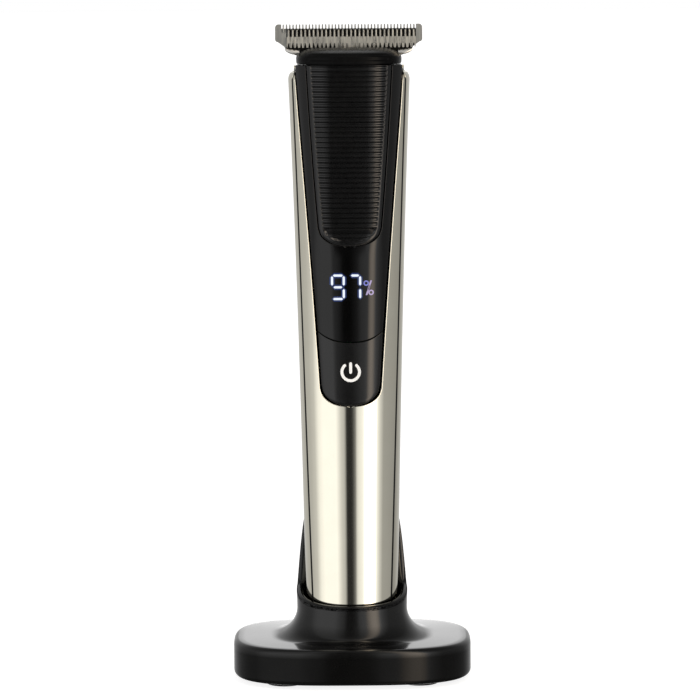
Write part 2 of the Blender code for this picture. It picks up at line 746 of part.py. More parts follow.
def make_cutter():
    joint_axis("cutter", (CUTTER_REST, CUTTER_FRONT, CUTTER_BOTTOM), "head")
    half = CUTTER_PITCH * CUTTER_TEETH / 2
    teeth = comb(CUTTER_TEETH, CUTTER_PITCH, CUTTER_REST, 172.4, CUTTER_TOP, 0.5)
    stem = 4.0
    notches = int((half - stem) / CUTTER_PITCH)
    right = []
    for i in range(notches):
        edge = half - i * CUTTER_PITCH
        right += [(edge, CUTTER_BOTTOM), (edge - 0.25, CUTTER_BOTTOM)]
        right += [(edge - 0.55, CUTTER_BOTTOM + 1.5), (edge - 0.85, CUTTER_BOTTOM)]
    right += [(stem, CUTTER_BOTTOM), (stem, 162.0)]
    lower = [(CUTTER_REST + x, z) for x, z in right]
    lower += [(CUTTER_REST - x, z) for x, z in reversed(right)]
    outline = teeth + [(CUTTER_REST + half, 172.0)] + lower + [(CUTTER_REST - half, 172.0)]
    solid("moving_blade", prism_y(outline, CUTTER_FRONT, CUTTER_BACK), steel(), "cutter")
    fork = [(4.0, 157.7), (4.0, 165.4), (-4.0, 165.4), (-4.0, 157.7), (-2.75, 157.7), (-2.75, 160.9)]
    fork += [(2.75, 160.9), (2.75, 157.7)]
    outline = [(CUTTER_REST + x, z) for x, z in fork]
    white = material("nylon_white", (0.85, 0.85, 0.82), 0.45)
    solid("drive_follower", prism_y(outline, -4.4, CUTTER_FRONT - GAP), white, "cutter")


def main():
    for obj in list(bpy.data.objects):
        bpy.data.objects.remove(obj)
    make_stand_body()
    make_base()
    make_stand_electrics()
    make_charge_pins()
    joint_axis("groomer", (0.0, 0.0, BODY_BOTTOM))
    make_shells()
    make_fascia()
    make_grip()
    make_button()
    make_foot_cap()
    make_collar()
    make_chassis()
    make_battery()
    make_electronics()
    make_motor()
    make_rotor()
    joint_axis("head", (0.0, 0.0, NECK_JOINT), "groomer")
    make_head_housing()
    make_fixed_blade()
    make_blade_hardware()
    make_cutter()


main()
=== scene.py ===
"""The looks of the T-blade body groomer in its charging stand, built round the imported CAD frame.

Sizes are in millimetres and become metres when a mesh is made. +Z is up and the display faces -Y.
The groomer's form functions are those of the CAD model, so every piece meets its neighbours.
"""

from math import acos, ceil, cos, hypot, pi, radians, sin, sqrt

import bmesh
import bpy
from mathutils import Matrix, Vector


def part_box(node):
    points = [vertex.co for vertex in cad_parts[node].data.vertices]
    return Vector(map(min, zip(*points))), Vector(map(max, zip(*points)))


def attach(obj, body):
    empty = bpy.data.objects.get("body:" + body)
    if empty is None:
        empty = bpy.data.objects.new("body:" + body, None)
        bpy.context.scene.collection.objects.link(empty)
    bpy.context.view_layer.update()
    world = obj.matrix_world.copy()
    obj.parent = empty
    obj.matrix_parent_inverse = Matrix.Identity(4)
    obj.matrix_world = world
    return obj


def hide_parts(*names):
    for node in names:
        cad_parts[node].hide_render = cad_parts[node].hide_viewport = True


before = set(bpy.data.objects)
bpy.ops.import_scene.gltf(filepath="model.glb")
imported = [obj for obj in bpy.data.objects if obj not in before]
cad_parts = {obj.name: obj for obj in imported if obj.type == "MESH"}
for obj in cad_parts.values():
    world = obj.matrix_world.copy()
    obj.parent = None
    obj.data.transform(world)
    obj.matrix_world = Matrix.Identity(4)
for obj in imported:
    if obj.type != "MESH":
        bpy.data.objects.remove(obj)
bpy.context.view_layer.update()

MM = 0.001
STEP = 0.01  # for slopes
SHARP = 35.0  # degrees between faces that meet in a sharp edge


def low(node):
    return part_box(node)[0] / MM


def high(node):
    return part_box(node)[1] / MM


def middle_of(node):
    return (low(node) + high(node)) / 2


# Sizes from the frame
BASE_HALF_WIDTH = high("stand_body").x
BASE_HALF_DEPTH = high("stand_body").y
BASE_BOTTOM = low("stand_body").z
CUP_BACK_RIM = high("stand_body").z
FOOT_HEIGHT = high("stand_foot_1").z
FOOT_RADIUS = (high("stand_foot_1").x - low("stand_foot_1").x) / 2
BODY_BOTTOM = low("bottom_cap").z
SHELL_BOTTOM = low("rear_shell").z
SHELL_TOP = high("rear_shell").z
FACE_BOTTOM = low("power_button").z
FACE_TOP = high("display_fascia").z
GRIP_BOTTOM = low("thumb_grip").z
GRIP_TOP = high("thumb_grip").z
NECK_JOINT = high("neck_collar").z + 0.15
BLADE_HALF_WIDTH = high("fixed_blade").x
BLADE_TOP = high("fixed_blade").z
FIXED_FRONT = low("fixed_blade").y
FIXED_BACK = high("fixed_blade").y
CUTTER_FRONT = low("moving_blade").y
CUTTER_BACK = high("moving_blade").y
CUTTER_TIP = high("moving_blade").z
CUTTER_CENTRE = middle_of("moving_blade").x
CUTTER_MIDDLE = middle_of("moving_blade").y

# Form of the stand, as in the CAD model
BASE_POWER = 3.1
BASE_TOP = 10.7
BASE_WALL = 2.0
FLARE_RADIUS = 8.0
CUP_FLOOR = 12.0
CUP_CLEARANCE = 0.5
CUP_WALL = 2.0
CUP_FRONT_RIM = 20.3
RIM_FRONT = -14.5  # the rim's ends, along Y
RIM_BACK = 15.0
REST_START = 2.8  # where the rim turns up into the back rest, along Y
REST_END = 14.3

# Form of the groomer, as in the CAD model
BODY_POWER = 2.5
FRONT_DEPTH = 0.92
REAR_DEPTH = 0.95
SHELL_WALL = 1.6
SEAM_SLACK = 0.03
STRIP_WIDTH = 1.0
BUTTON_TOP = 91.75
BUTTON_ARC = 2.7
ARC_POWER = 2.5
BUTTON_ICON_Z = 83.85
CUTTER_BOTTOM = 169.5

# What the looks add
SHOULDER = 2.4  # rounding of the chrome's top edge
FACE_END = 4.9  # height over which the black face's lower end narrows
ARCH_POWER = 0.415  # and the form of its flat arch
ARCH_INVERSE = 2.41
FACE_EDGE = 1.3  # rounded edge of the black face
EDGE_DROP = 0.4
FACE_MIDDLE = 80.0  # radius across the nearly flat middle of the black face, below the grip
GRIP_MIDDLE = 400.0  # and beside the grip
FACE_SIDES = 8.0  # radius of its sides, which come down to the chrome
GRIP_TURN = 4.5  # beside the grip, half the width of the middle
BLEND_START = GRIP_BOTTOM - 4  # between the two forms of the face
BLEND_END = GRIP_BOTTOM + 10
GRIP_SINK = 0.15  # the grip's border under the face, and its rise inside the border
GRIP_CROWN = 0.45
PLATE_DEPTH = 1.6
WINDOW_DEPTH = 1.5
FIT = 0.12  # half the gap along a joint between two pieces
RIB_PITCH = 1.335
RIB_DEPTH = 0.4
RIB_RIM = 1.35  # smooth border of the ribbed grip
SEAM_ROLL = 0.18  # rounding of the edges along the joints
FACE_ROLL = 0.17
ARM_RISE = 1.7  # of the front shell's arms, from the seam to the black face
TILE_LIFT = 0.03  # of what is printed on the black face or shines through it
TILE_DEPTH = 0.25
COLUMNS = 144  # points round a section
SIDES = ("left", "right")
# painted shade: the black of the blades where they lie in shadow behind one another
BLADE_SHADE = (0.012, 0.012, 0.011)
BACKWARD = Vector((0.0, 1.0, 0.0))


# ---------------------------------------------------------------- the groomer's form


def half_width(z):
    t = (z - 28.0) / 133.0
    return 12.55 + 2.8 * t + 0.9 * t**3


def girth(z):
    """Half width of the chrome, which rounds in at the shoulder."""
    rise = max(0.0, z - SHELL_TOP + SHOULDER)
    return half_width(z) - 0.75 * (SHOULDER - sqrt(max(0.0, SHOULDER**2 - (0.92 * rise) ** 2)))


def seam_angle(z):
    down = (SHELL_TOP - z) / (SHELL_TOP - SHELL_BOTTOM)
    return radians(25.5 + 11.5 * down**2)


def section(angle, width, front, rear, power):
    c, s = cos(angle), sin(angle)
    depth = rear if s > 0 else front
    x = width * abs(c) ** (2 / power) * (1 if c > 0 else -1)
    y = depth * abs(s) ** (2 / power) * (1 if s > 0 else -1)
    return x, y


def body_point(angle, z, inset=0.0):
    width = half_width(z)
    x, y = section(angle, width - inset, FRONT_DEPTH * width - inset, REAR_DEPTH * width - inset, BODY_POWER)
    return Vector((x, y, z))


def front_y(x, width):
    """Y of the front of a section of the body, at x."""
    return -FRONT_DEPTH * width * max(0.0, 1 - abs(x / width) ** BODY_POWER) ** (1 / BODY_POWER)


def chrome_normal(point):
    """Outward direction of the chrome skin, from the slopes of its section and its girth."""
    width = girth(point.z)
    depth = (FRONT_DEPTH if point.y < 0 else REAR_DEPTH) * width
    slope = (girth(point.z + STEP) - girth(point.z - STEP)) / (2 * STEP)
    across = abs(point.x / width) ** (BODY_POWER - 1) / width
    along = abs(point.y / depth) ** (BODY_POWER - 1) / depth
    across *= 1 if point.x > 0 else -1
    along *= 1 if point.y > 0 else -1
    return Vector((across, along, -slope / width)).normalized()


def face_side(z):
    rise = z - 79.2
    return 8.0 + 0.0655 * rise + 0.00011 * rise**2


def grip_side(z):
    return 7.95 + 0.0905 * (z - GRIP_BOTTOM) - 0.0004 * (z - GRIP_BOTTOM) ** 2


def share_between(first, last, value):
    """0 at first, 1 at last. The ends may be either way round."""
    return min(1.0, max(0.0, (value - first) / (last - first)))


def smooth(first, last, value):
    """The same, but eased in and out."""
    share = share_between(first, last, value)
    return share * share * (3 - 2 * share)


def spread(first, last, steps):
    return [first + (last - first) * i / steps for i in range(steps + 1)]


def around(count):
    return [2 * pi * i / count for i in range(count)]


def narrowed(side, z, bottom):
    """side(z), drawn in to a flat arch above the bottom."""
    share = share_between(bottom, bottom + FACE_END, z)
    return side(z) * (1 - (1 - share) ** 2) ** ARCH_POWER


def arch_heights(bottom, steps=22):
    """Heights over which an outline's lower end widens by even steps, above its bottom."""
    shares = [(i / steps) ** ARCH_INVERSE for i in range(1, steps + 1)]
    return [bottom + FACE_END * (1 - sqrt(1 - share)) for share in shares]


def edge_distance(x, z, side, bottom):
    """About how far (x, z) is inside an outline that narrows at its lower end."""
    best = side(z) - abs(x)
    if z < bottom + 2 * FACE_END:
        for height in [bottom] + arch_heights(bottom, 24):
            best = min(best, hypot(narrowed(side, height, bottom) - abs(x), height - z))
        if abs(x) > narrowed(side, z, bottom) or z < bottom:
            best = 0.0
    return max(0.0, best)


def face_y(x, z):
    """Y of the black face: nearly flat in its middle, with rounded sides that come down to the chrome."""
    side, width = face_side(z), half_width(z)
    middle = front_y(0.0, width)
    share = smooth(BLEND_START, BLEND_END, z)
    gentle = 0.5 / (FACE_MIDDLE + (GRIP_MIDDLE - FACE_MIDDLE) * share)
    fall = front_y(side, width) - middle - gentle * side**2
    turn = side - sqrt(fall / (0.5 / FACE_SIDES - gentle))
    turn += (GRIP_TURN - turn) * share
    inside = min(1.0, edge_distance(x, z, face_side, FACE_BOTTOM) / FACE_EDGE)
    drop = 1 - sqrt(1 - (1 - inside) ** 2)
    beyond = max(0.0, abs(x) - turn) / (side - turn)
    return middle + gentle * x * x + fall * beyond ** (2 + share) + EDGE_DROP * drop


def grip_y(x, z):
    """Y of the ribbed grip: a smooth rim round grooves with rounded ends."""
    inside = edge_distance(x, z, grip_side, GRIP_BOTTOM)
    crown = GRIP_CROWN * sqrt(1 - (1 - min(1.0, inside)) ** 2)
    phase = (GRIP_TOP - 0.5 - z) / RIB_PITCH
    wave = 0.5 + 0.5 * cos(2 * pi * phase)
    groove = RIB_DEPTH * wave * smooth(RIB_RIM - 0.25, RIB_RIM + 0.25, inside)
    return face_y(x, z) + GRIP_SINK - crown + groove


def on_front(height_of):
    """Turns a surface y = f(x, z) into a function of (x, z) that gives its point and outward normal."""

    def place(x, z):
        across = (height_of(x + STEP, z) - height_of(x - STEP, z)) / (2 * STEP)
        along = (height_of(x, z + STEP) - height_of(x, z - STEP)) / (2 * STEP)
        return Vector((x, height_of(x, z), z)), Vector((across, -1.0, along)).normalized()

    return place


def chrome_round(angle, z):
    """A point of the chrome, anywhere round the body, and its outward normal."""
    width = girth(z)
    x, y = section(angle, width, FRONT_DEPTH * width, REAR_DEPTH * width, BODY_POWER)
    point = Vector((x, y, z))
    return point, chrome_normal(point)


def chrome_front(x, z):
    """The same, by its x on the front of the body."""
    point = Vector((x, front_y(x, girth(z)), z))
    return point, chrome_normal(point)


# ---------------------------------------------------------------- making pieces


def object_from(name, mesh_data):
    """A new object in the scene, from a bmesh in metres."""
    mesh = bpy.data.meshes.new(name)
    mesh_data.to_mesh(mesh)
    mesh_data.free()
    obj = bpy.data.objects.new(name, mesh)
    bpy.context.scene.collection.objects.link(obj)
    return obj


def finish_piece(name, mesh_data, finish, body, nodes=(), sharp=SHARP, normals=None, bevel=0.0):
    """An object from a bmesh in millimetres. It rides on a body and stands for CAD nodes."""
    bmesh.ops.scale(mesh_data, verts=mesh_data.verts, vec=(MM, MM, MM))
    if not normals:
        bmesh.ops.recalc_face_normals(mesh_data, faces=mesh_data.faces)
    obj = object_from(name, mesh_data)
    obj.data.materials.append(finish.material)
    obj.data.shade_smooth()
    if normals:
        obj.data.normals_split_custom_set_from_vertices(normals)
    else:
        obj.data.set_sharp_from_angle(angle=radians(sharp))
    if bevel:
        edge = obj.modifiers.new("edge", "BEVEL")
        edge.width = bevel * MM
        edge.segments = 3
        edge.limit_method = "ANGLE"
        edge.angle_limit = radians(40)
        edge.harden_normals = True
    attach(obj, body)
    if nodes:
        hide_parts(*nodes)
    return obj


def band(first, second):
    """Faces between two loops."""
    return [(first[i], first[i - 1], second[i - 1], second[i]) for i in range(len(first))]


def loft(rings, closed=False, into=None):
    """A solid through rings of points. Its ends are capped, or joined to each other if closed."""
    made = into or bmesh.new()
    rows = [[made.verts.new(point) for point in ring] for ring in rings]
    pairs = list(zip(rows, rows[1:]))
    if closed:
        pairs.append((rows[-1], rows[0]))
    else:
        made.faces.new(rows[0])
        made.faces.new(rows[-1])
    for first, second in pairs:
        for corners in band(first, second):
            made.faces.new(corners)
    return made


def lathe(profile, x, y, sides=48):
    """A solid turned about an upright axis, from (radius, z)."""
    rings = []
    for radius, z in profile:
        rings.append([(x + radius * cos(turn), y + radius * sin(turn), z) for turn in around(sides)])
    return loft(rings)


def box(lowest, highest):
    a, b = lowest, highest
    corners = [(a[0], a[1]), (b[0], a[1]), (b[0], b[1]), (a[0], b[1])]
    return loft([[(x, y, z) for x, y in corners] for z in (a[2], b[2])])


def prism_y(outline, front, back, into=None):
    return loft([[(x, y, z) for x, z in outline] for y in (front, back)], into=into)


def mirrored(right, centre=0.0):
    """A whole outline of (x, z) from its right half."""
    return [(centre + x, z) for x, z in right] + [(centre - x, z) for x, z in reversed(right)]


def cut(target, *cutters):
    """Cuts closed bmeshes from an object with exact Booleans, and applies them."""
    for mesh_data in cutters:
        bmesh.ops.scale(mesh_data, verts=mesh_data.verts, vec=(MM, MM, MM))
        bmesh.ops.recalc_face_normals(mesh_data, faces=mesh_data.faces)
        helper = object_from("cutter", mesh_data)
        mesh = helper.data
        modifier = target.modifiers.new("cut", "BOOLEAN")
        modifier.object = helper
        modifier.solver = "EXACT"
        with bpy.context.temp_override(object=target, active_object=target):
            bpy.ops.object.modifier_apply(modifier=modifier.name)
        bpy.data.objects.remove(helper)
        bpy.data.meshes.remove(mesh)
    target.data.shade_smooth()
    target.data.set_sharp_from_angle(angle=radians(SHARP))


def border_of(faces):
    """The border of a patch of faces, in order."""
    edges = dict.fromkeys((face[i - 1], face[i]) for face in faces for i in range(len(face)))
    step = {a: b for a, b in edges if (b, a) not in edges}
    start = next(iter(step))
    loop = [start]
    while step[loop[-1]] != start:
        loop.append(step[loop[-1]])
    return loop


def thick_skin(points, normals, faces, depth, roll, inward=None):
    """A closed solid under an open skin. The skin's border rolls over by the radius roll into a wall.

    The wall goes down along the skin's normals, or along inward.
    """
    facing = 0.0
    for face in faces:
        a, b, c = (points[i] for i in face[:3])
        facing += (b - a).cross(c - a).dot(normals[face[0]])
    if facing < 0:
        faces = [tuple(reversed(face)) for face in faces]
    border = border_of(faces)
    outward = []
    for i, at in enumerate(border):
        here, before, after = points[at], points[border[i - 1]], points[border[(i + 1) % len(border)]]
        normal = normals[at]
        sides = [(here - before).cross(normal).normalized(), (after - here).cross(normal).normalized()]
        middle = (sides[0] + sides[1]).normalized()
        outward.append(middle / max(0.6, middle.dot(sides[0])))
    made_points, made_normals, made_faces = list(points), list(normals), list(faces)
    ring = border
    turns = [radians(angle) for angle in (30, 60, 90, 90)]
    for step, turn in enumerate(turns):
        wall = depth if step == len(turns) - 1 else 0.0
        start = len(made_points)
        for at, side in zip(border, outward):
            sunk = (-normals[at] if inward is None else inward) * wall
            rolled = side * roll * sin(turn) - normals[at] * roll * (1 - cos(turn))
            made_points.append(points[at] + rolled + sunk)
            made_normals.append((normals[at] * cos(turn) + side.normalized() * sin(turn)).normalized())
        fresh = list(range(start, start + len(border)))
        made_faces += band(ring, fresh)
        ring = fresh
    start = len(made_points)
    for point, normal in zip(points, normals):
        made_points.append(point + (-normal if inward is None else inward) * depth)
        made_normals.append(-normal)
    made_faces += [tuple(start + i for i in reversed(face)) for face in faces]
    made_faces += band(ring, [start + at for at in border])
    return made_points, made_normals, made_faces


def skin_piece(name, skin, depth, roll, finish, body, node, inward=None):
    points, normals, faces = thick_skin(*skin, depth, roll, inward)
    made = bmesh.new()
    verts = [made.verts.new(point) for point in points]
    for face in faces:
        made.faces.new([verts[i] for i in face])
    return finish_piece(name, made, finish, body, [node], normals=normals)


def grid_faces(grid):
    return [
        (grid[r][c], grid[r][c + 1], grid[r + 1][c + 1], grid[r + 1][c])
        for r in range(len(grid) - 1)
        for c in range(len(grid[0]) - 1)
    ]


def plate(place, rows):
    """An open skin from rows of (x, z), or of whatever pairs place takes."""
    points, normals = zip(*[place(*pair) for row in rows for pair in row])
    columns = len(rows[0])
    grid = [[r * columns + c for c in range(columns)] for r in range(len(rows))]
    return points, normals, grid_faces(grid)


def arm_across(inner, outer, width, steps):
    """The x along an arm beside a notch, close together towards the side, where the body curves most."""
    first, last = (acos(min(1.0, value / width) ** (BODY_POWER / 2)) for value in (inner, outer))
    return [width * cos(turn) ** (2 / BODY_POWER) for turn in spread(first, last, steps)]


def notched_skin(place, lower_rows, outer, notch, notch_bottom, upper, arms, centre, top_rise=0.0):
    """An open skin with a notch in its upper part. outer(z) and notch(z) are the outlines' half widths.

    lower_rows are functions of x for the heights below the notch, and upper the heights above its bottom.
    """
    points, normals, faces = [], [], []

    def add(x, z):
        point, normal = place(x, z)
        points.append(point)
        normals.append(normal)
        return len(points) - 1

    rows = []
    for height in lower_rows:
        base = height(0.0)
        gap = notch(notch_bottom)
        right = arm_across(gap, outer(base), girth(base), arms)
        middle = spread(-gap, gap, centre)[1:-1]
        row = [-x for x in reversed(right)] + middle + right
        rows.append([add(x, height(x)) for x in row])
    faces += grid_faces(rows)
    left_row = rows[-1][: arms + 1]
    right_row = rows[-1][-(arms + 1) :]
    last_z = upper[-1]
    for z in upper:
        right = arm_across(notch(z), outer(z), girth(z), arms)
        tilt = top_rise * smooth(last_z - 12, last_z, z)
        span = right[-1] - right[0]
        lift = [tilt * (1 - (x - right[0]) / span) for x in right]
        fresh_left = [add(-x, z + up) for x, up in zip(reversed(right), reversed(lift))]
        fresh_right = [add(x, z + up) for x, up in zip(right, lift)]
        faces += grid_faces([left_row, fresh_left])
        faces += grid_faces([right_row, fresh_right])
        left_row, right_row = fresh_left, fresh_right
    return points, normals, faces


# ---------------------------------------------------------------- materials


class Nodes:
    """A node tree in the making, with short ways to add nodes and to feed them."""

    def __init__(self, tree):
        self.tree = tree

    def node(self, kind, inputs=None, **settings):
        made = self.tree.nodes.new("ShaderNode" + kind)
        for name, value in settings.items():
            setattr(made, name, value)
        self.feed(made, inputs or {})
        return made

    def feed(self, node, inputs):
        """Gives sockets their values, or links them to the outputs that feed them."""
        for name, value in inputs.items():
            if isinstance(value, bpy.types.NodeSocket):
                self.tree.links.new(value, node.inputs[name])
            else:
                node.inputs[name].default_value = value

    def math(self, operation, first, second=0.0):
        return self.node("Math", {0: first, 1: second}, operation=operation).outputs[0]

    def range(self, value, from_min, from_max, to_min=0.0, to_max=1.0):
        limits = {"From Min": from_min, "From Max": from_max, "To Min": to_min, "To Max": to_max}
        return self.node("MapRange", {"Value": value, **limits}).outputs["Result"]

    def ramp(self, value, *stops):
        """A colour ramp through (position, colour) stops."""
        made = self.node("ValToRGB", {"Fac": value})
        elements = made.color_ramp.elements
        elements.remove(elements[-1])
        elements[0].position = stops[0][0]
        elements[0].color = (*stops[0][1], 1.0)
        for position, color in stops[1:]:
            elements.new(position).color = (*color, 1.0)
        return made.outputs["Color"]


class Finish(Nodes):
    """A material in the making, laid out in its object's own coordinates."""

    def __init__(self, name):
        self.material = bpy.data.materials.new(name)
        self.material.use_nodes = True
        super().__init__(self.material.node_tree)
        self.shader = self.tree.nodes["Principled BSDF"]
        self.place = self.node("TexCoord").outputs["Object"]

    def set(self, **values):
        self.feed(self.shader, {name.replace("_", " "): value for name, value in values.items()})

    def noise(self, scale, detail=3.0, stretch=(1.0, 1.0, 1.0)):
        turned = self.node("Mapping", {"Vector": self.place, "Scale": stretch}).outputs["Vector"]
        return self.node("TexNoise", {"Vector": turned, "Scale": scale, "Detail": detail}).outputs["Fac"]

    def bump(self, value, depth):
        """depth is the relief in millimetres."""
        made = self.node("Bump", {"Height": value, "Strength": 1.0, "Distance": depth * MM})
        self.set(Normal=made.outputs["Normal"])

    def colors(self, value, first, last):
        self.set(Base_Color=self.ramp(value, (0.3, first), (0.7, last)))

    def roughness(self, value, first, last):
        self.set(Roughness=self.range(value, 0.3, 0.7, first, last))


def moulded(name, dark, light, rough, grain, depth, **values):
    """Moulded plastic or rubber: a fine grain in relief, with small changes of colour and gloss."""
    finish = Finish(name)
    finish.set(**values)
    finish.colors(finish.noise(120.0, 4.0), dark, light)
    finish.roughness(finish.noise(420.0, 5.0), *rough)
    finish.bump(finish.noise(grain, 2.0), depth)
    return finish


def stand_finish():
    """The stand's plastic: glossy on its upper faces, and matt on the base's wall."""
    dark, light = (0.0026, 0.0026, 0.0025), (0.0038, 0.0038, 0.0036)
    finish = moulded("stand_black", dark, light, (0.10, 0.13), FINE, 0.0006)
    height = finish.node("SeparateXYZ", {0: finish.place}).outputs["Z"]
    wall, top = 8.6 * MM, 10.2 * MM
    finish.set(Specular_IOR_Level=finish.range(height, wall, top, 0.12, 0.5))
    return finish


def metal(name, dark, light, rough, lines, depth, stretch):
    """Metal with fine lines left by grinding or polishing."""
    finish = Finish(name)
    finish.set(Metallic=1.0)
    finish.colors(finish.noise(160.0, 4.0), dark, light)
    scratches = finish.noise(lines, 4.0, stretch)
    finish.roughness(scratches, *rough)
    finish.bump(scratches, depth)
    return finish


def blade_finish(name, dark, light, rough, *limits):
    """Ground steel with fine upright lines, painted black as shade where it passes none of the limits.

    The limits are a value and the half width of the change, in millimetres: for the distance from the
    cutter's middle, for the height, and along Y.
    """
    finish = Finish(name)
    finish.set(Metallic=1.0)
    lines = finish.noise(1500.0, 4.0, (1.0, 1.0, 0.12))
    finish.roughness(lines, *rough)
    finish.bump(lines, 0.004)
    x, y, z = finish.node("SeparateXYZ", {0: finish.place}).outputs
    aside = finish.math("ABSOLUTE", finish.math("SUBTRACT", x, CUTTER_CENTRE * MM))
    # steel where any limit is passed, and painted shade in black everywhere else
    unshaded = 0.0
    for place, (limit, ease) in zip((aside, z, y), limits):
        beyond = finish.range(place, (limit - ease) * MM, (limit + ease) * MM)
        unshaded = finish.math("MAXIMUM", unshaded, beyond)
    steel = finish.ramp(lines, (0.3, dark), (0.7, light))
    mix = finish.node("Mix", {"Factor": unshaded, 6: (*BLADE_SHADE, 1.0), 7: steel}, data_type="RGBA")
    finish.set(Base_Color=mix.outputs[2])
    return finish


def glowing(name, color, strength):
    """A lit segment under the clear window, a little uneven."""
    finish = Finish(name)

    def scaled(share):
        return tuple(share * part for part in color)

    glow = finish.ramp(finish.noise(700.0), (0.3, scaled(0.9)), (0.7, color))
    finish.set(Emission_Color=glow, Emission_Strength=strength, Roughness=0.3)
    finish.colors(finish.noise(700.0), scaled(0.02), scaled(0.03))
    return finish


def board_finish():
    """A circuit board: solder mask over copper tracks."""
    finish = Finish("circuit_board")
    turned = finish.node("Mapping", {"Vector": finish.place, "Rotation": (pi / 2, 0.0, 0.0)})
    look = {"Vector": turned.outputs["Vector"], "Scale": 220.0, "Mortar Size": 0.03}
    look["Color1"] = (0.006, 0.075, 0.028, 1.0)
    look["Color2"] = (0.010, 0.095, 0.036, 1.0)
    look["Mortar"] = (0.030, 0.190, 0.070, 1.0)
    tracks = finish.node("TexBrick", look)
    finish.set(Base_Color=tracks.outputs["Color"])
    finish.roughness(finish.noise(600.0), 0.28, 0.42)
    finish.bump(tracks.outputs["Fac"], 0.03)
    return finish


FINE = 2600.0  # scale of the finest grain

satin = moulded("satin_black", (0.0030, 0.0030, 0.0029), (0.0045, 0.0045, 0.0042), (0.15, 0.19), FINE, 0.0012)
stand_black = stand_finish()
seam_black = moulded(
    "seam_black", (0.0030, 0.0030, 0.0026), (0.0045, 0.0045, 0.0038), (0.4, 0.5), FINE, 0.002,
    Specular_IOR_Level=0.15,
)
head_black = moulded(
    "head_black", (0.0030, 0.0030, 0.0031), (0.0045, 0.0045, 0.0045), (0.24, 0.30), FINE, 0.002,
    Specular_IOR_Level=0.06,
)
gloss = moulded(
    "gloss_black", (0.0012, 0.0012, 0.0012), (0.0018, 0.0017, 0.0017), (0.05, 0.07), 400.0, 0.0003,
    Specular_IOR_Level=0.4,
)
button_black = moulded(
    "button_black", (0.0035, 0.0035, 0.0035), (0.0045, 0.0045, 0.0044), (0.13, 0.16), FINE, 0.001
)
ribbed = moulded(
    "grip_black", (0.0025, 0.0025, 0.0026), (0.0035, 0.0035, 0.0035), (0.11, 0.14), FINE, 0.0012,
    Specular_IOR_Level=0.5,
)
rubber = moulded("foot_rubber", (0.010, 0.010, 0.010), (0.018, 0.018, 0.018), (0.75, 0.9), 1800.0, 0.03)
nylon = moulded("nylon_white", (0.72, 0.72, 0.68), (0.80, 0.80, 0.76), (0.38, 0.50), 1500.0, 0.01)
chassis = moulded("chassis_plastic", (0.40, 0.40, 0.38), (0.47, 0.47, 0.45), (0.42, 0.55), 1500.0, 0.015)
wrap = moulded("cell_wrap", (0.03, 0.14, 0.26), (0.045, 0.18, 0.32), (0.25, 0.35), 500.0, 0.01)
white_ink = moulded("icon_white", (0.80, 0.80, 0.78), (0.86, 0.86, 0.84), (0.35, 0.45), 2000.0, 0.004)
screen = moulded("display_white", (0.60, 0.60, 0.60), (0.68, 0.68, 0.68), (0.35, 0.45), 2000.0, 0.004)
chrome = metal(
    "champagne_chrome", (0.97, 0.925, 0.78), (1.0, 0.96, 0.81), (0.035, 0.055), 900.0, 0.00006,
    (1.0, 1.0, 0.08),
)
# the comb is painted black as shade on its front where it lies behind the cutter, below its tips
comb_steel = blade_finish(
    "comb_steel", (0.24, 0.245, 0.235), (0.36, 0.365, 0.345), (0.28, 0.42),
    (17.25, 0.08), (BLADE_TOP - 1.1, 0.12), (FIXED_BACK - 0.25, 0.05),
)
# the cutter is painted black as shade below its ridge, behind its front plate, where this shows through its
# gaps
cutter_steel = blade_finish(
    "cutter_steel", (0.40, 0.385, 0.345), (0.64, 0.62, 0.55), (0.22, 0.36),
    (17.0, 0.1), (171.2, 0.05), (CUTTER_MIDDLE, -0.05),
)
rolled_steel = metal(
    "rolled_steel", (0.66, 0.65, 0.62), (0.82, 0.81, 0.77), (0.22, 0.30), 900.0, 0.003, (0.2, 1.0, 1.0)
)
plain_steel = metal(
    "spring_steel", (0.45, 0.45, 0.43), (0.60, 0.60, 0.58), (0.25, 0.38), 1200.0, 0.006, (1.0, 0.15, 1.0)
)
gold = metal(
    "contact_gold", (0.72, 0.50, 0.18), (0.86, 0.64, 0.27), (0.18, 0.30), 1200.0, 0.004, (1.0, 1.0, 0.2)
)
board = board_finish()
lit_white = glowing("lit_white", (0.82, 0.88, 1.0), 1.1)
lit_lilac = glowing("lit_lilac", (0.44, 0.36, 0.62), 0.95)
lit_blue = glowing("lit_blue", (0.20, 0.22, 0.62), 0.95)
lit_halo = glowing("lit_halo", (0.009, 0.026, 0.115), 1.0)


# ---------------------------------------------------------------- stand


def rim_height(y):
    """Height of the cup's rim: a gentle slope from the front that turns up into a back rest."""
    rise = CUP_BACK_RIM - CUP_FRONT_RIM
    slope = share_between(RIM_FRONT, RIM_BACK, y)
    return CUP_FRONT_RIM + rise * (0.2 * slope + 0.8 * smooth(REST_START, REST_END, y))


def ring_at(z, side, front, rear, columns=COLUMNS, power=BODY_POWER):
    return [(*section(turn, side, front, rear, power), z) for turn in around(columns)]


def base_ring(grow, z):
    depth = BASE_HALF_DEPTH + grow
    return ring_at(z, BASE_HALF_WIDTH + grow, depth, depth, power=BASE_POWER)


def body_ring(z, inset):
    return [tuple(body_point(turn, z, inset)) for turn in around(COLUMNS)]


def blended(first, second, share, z):
    return [(a[0] + (b[0] - a[0]) * share, a[1] + (b[1] - a[1]) * share, z) for a, b in zip(first, second)]


def rim_ring(grow, start, share, drop=0.0):
    """A ring of the cup's wall, at this share of the way from the start up to the rim."""
    ring = []
    for turn in around(COLUMNS):
        y = body_point(turn, start, -grow).y
        z = start + (rim_height(y) - drop - start) * share
        ring.append(tuple(body_point(turn, z, -grow)))
    return ring


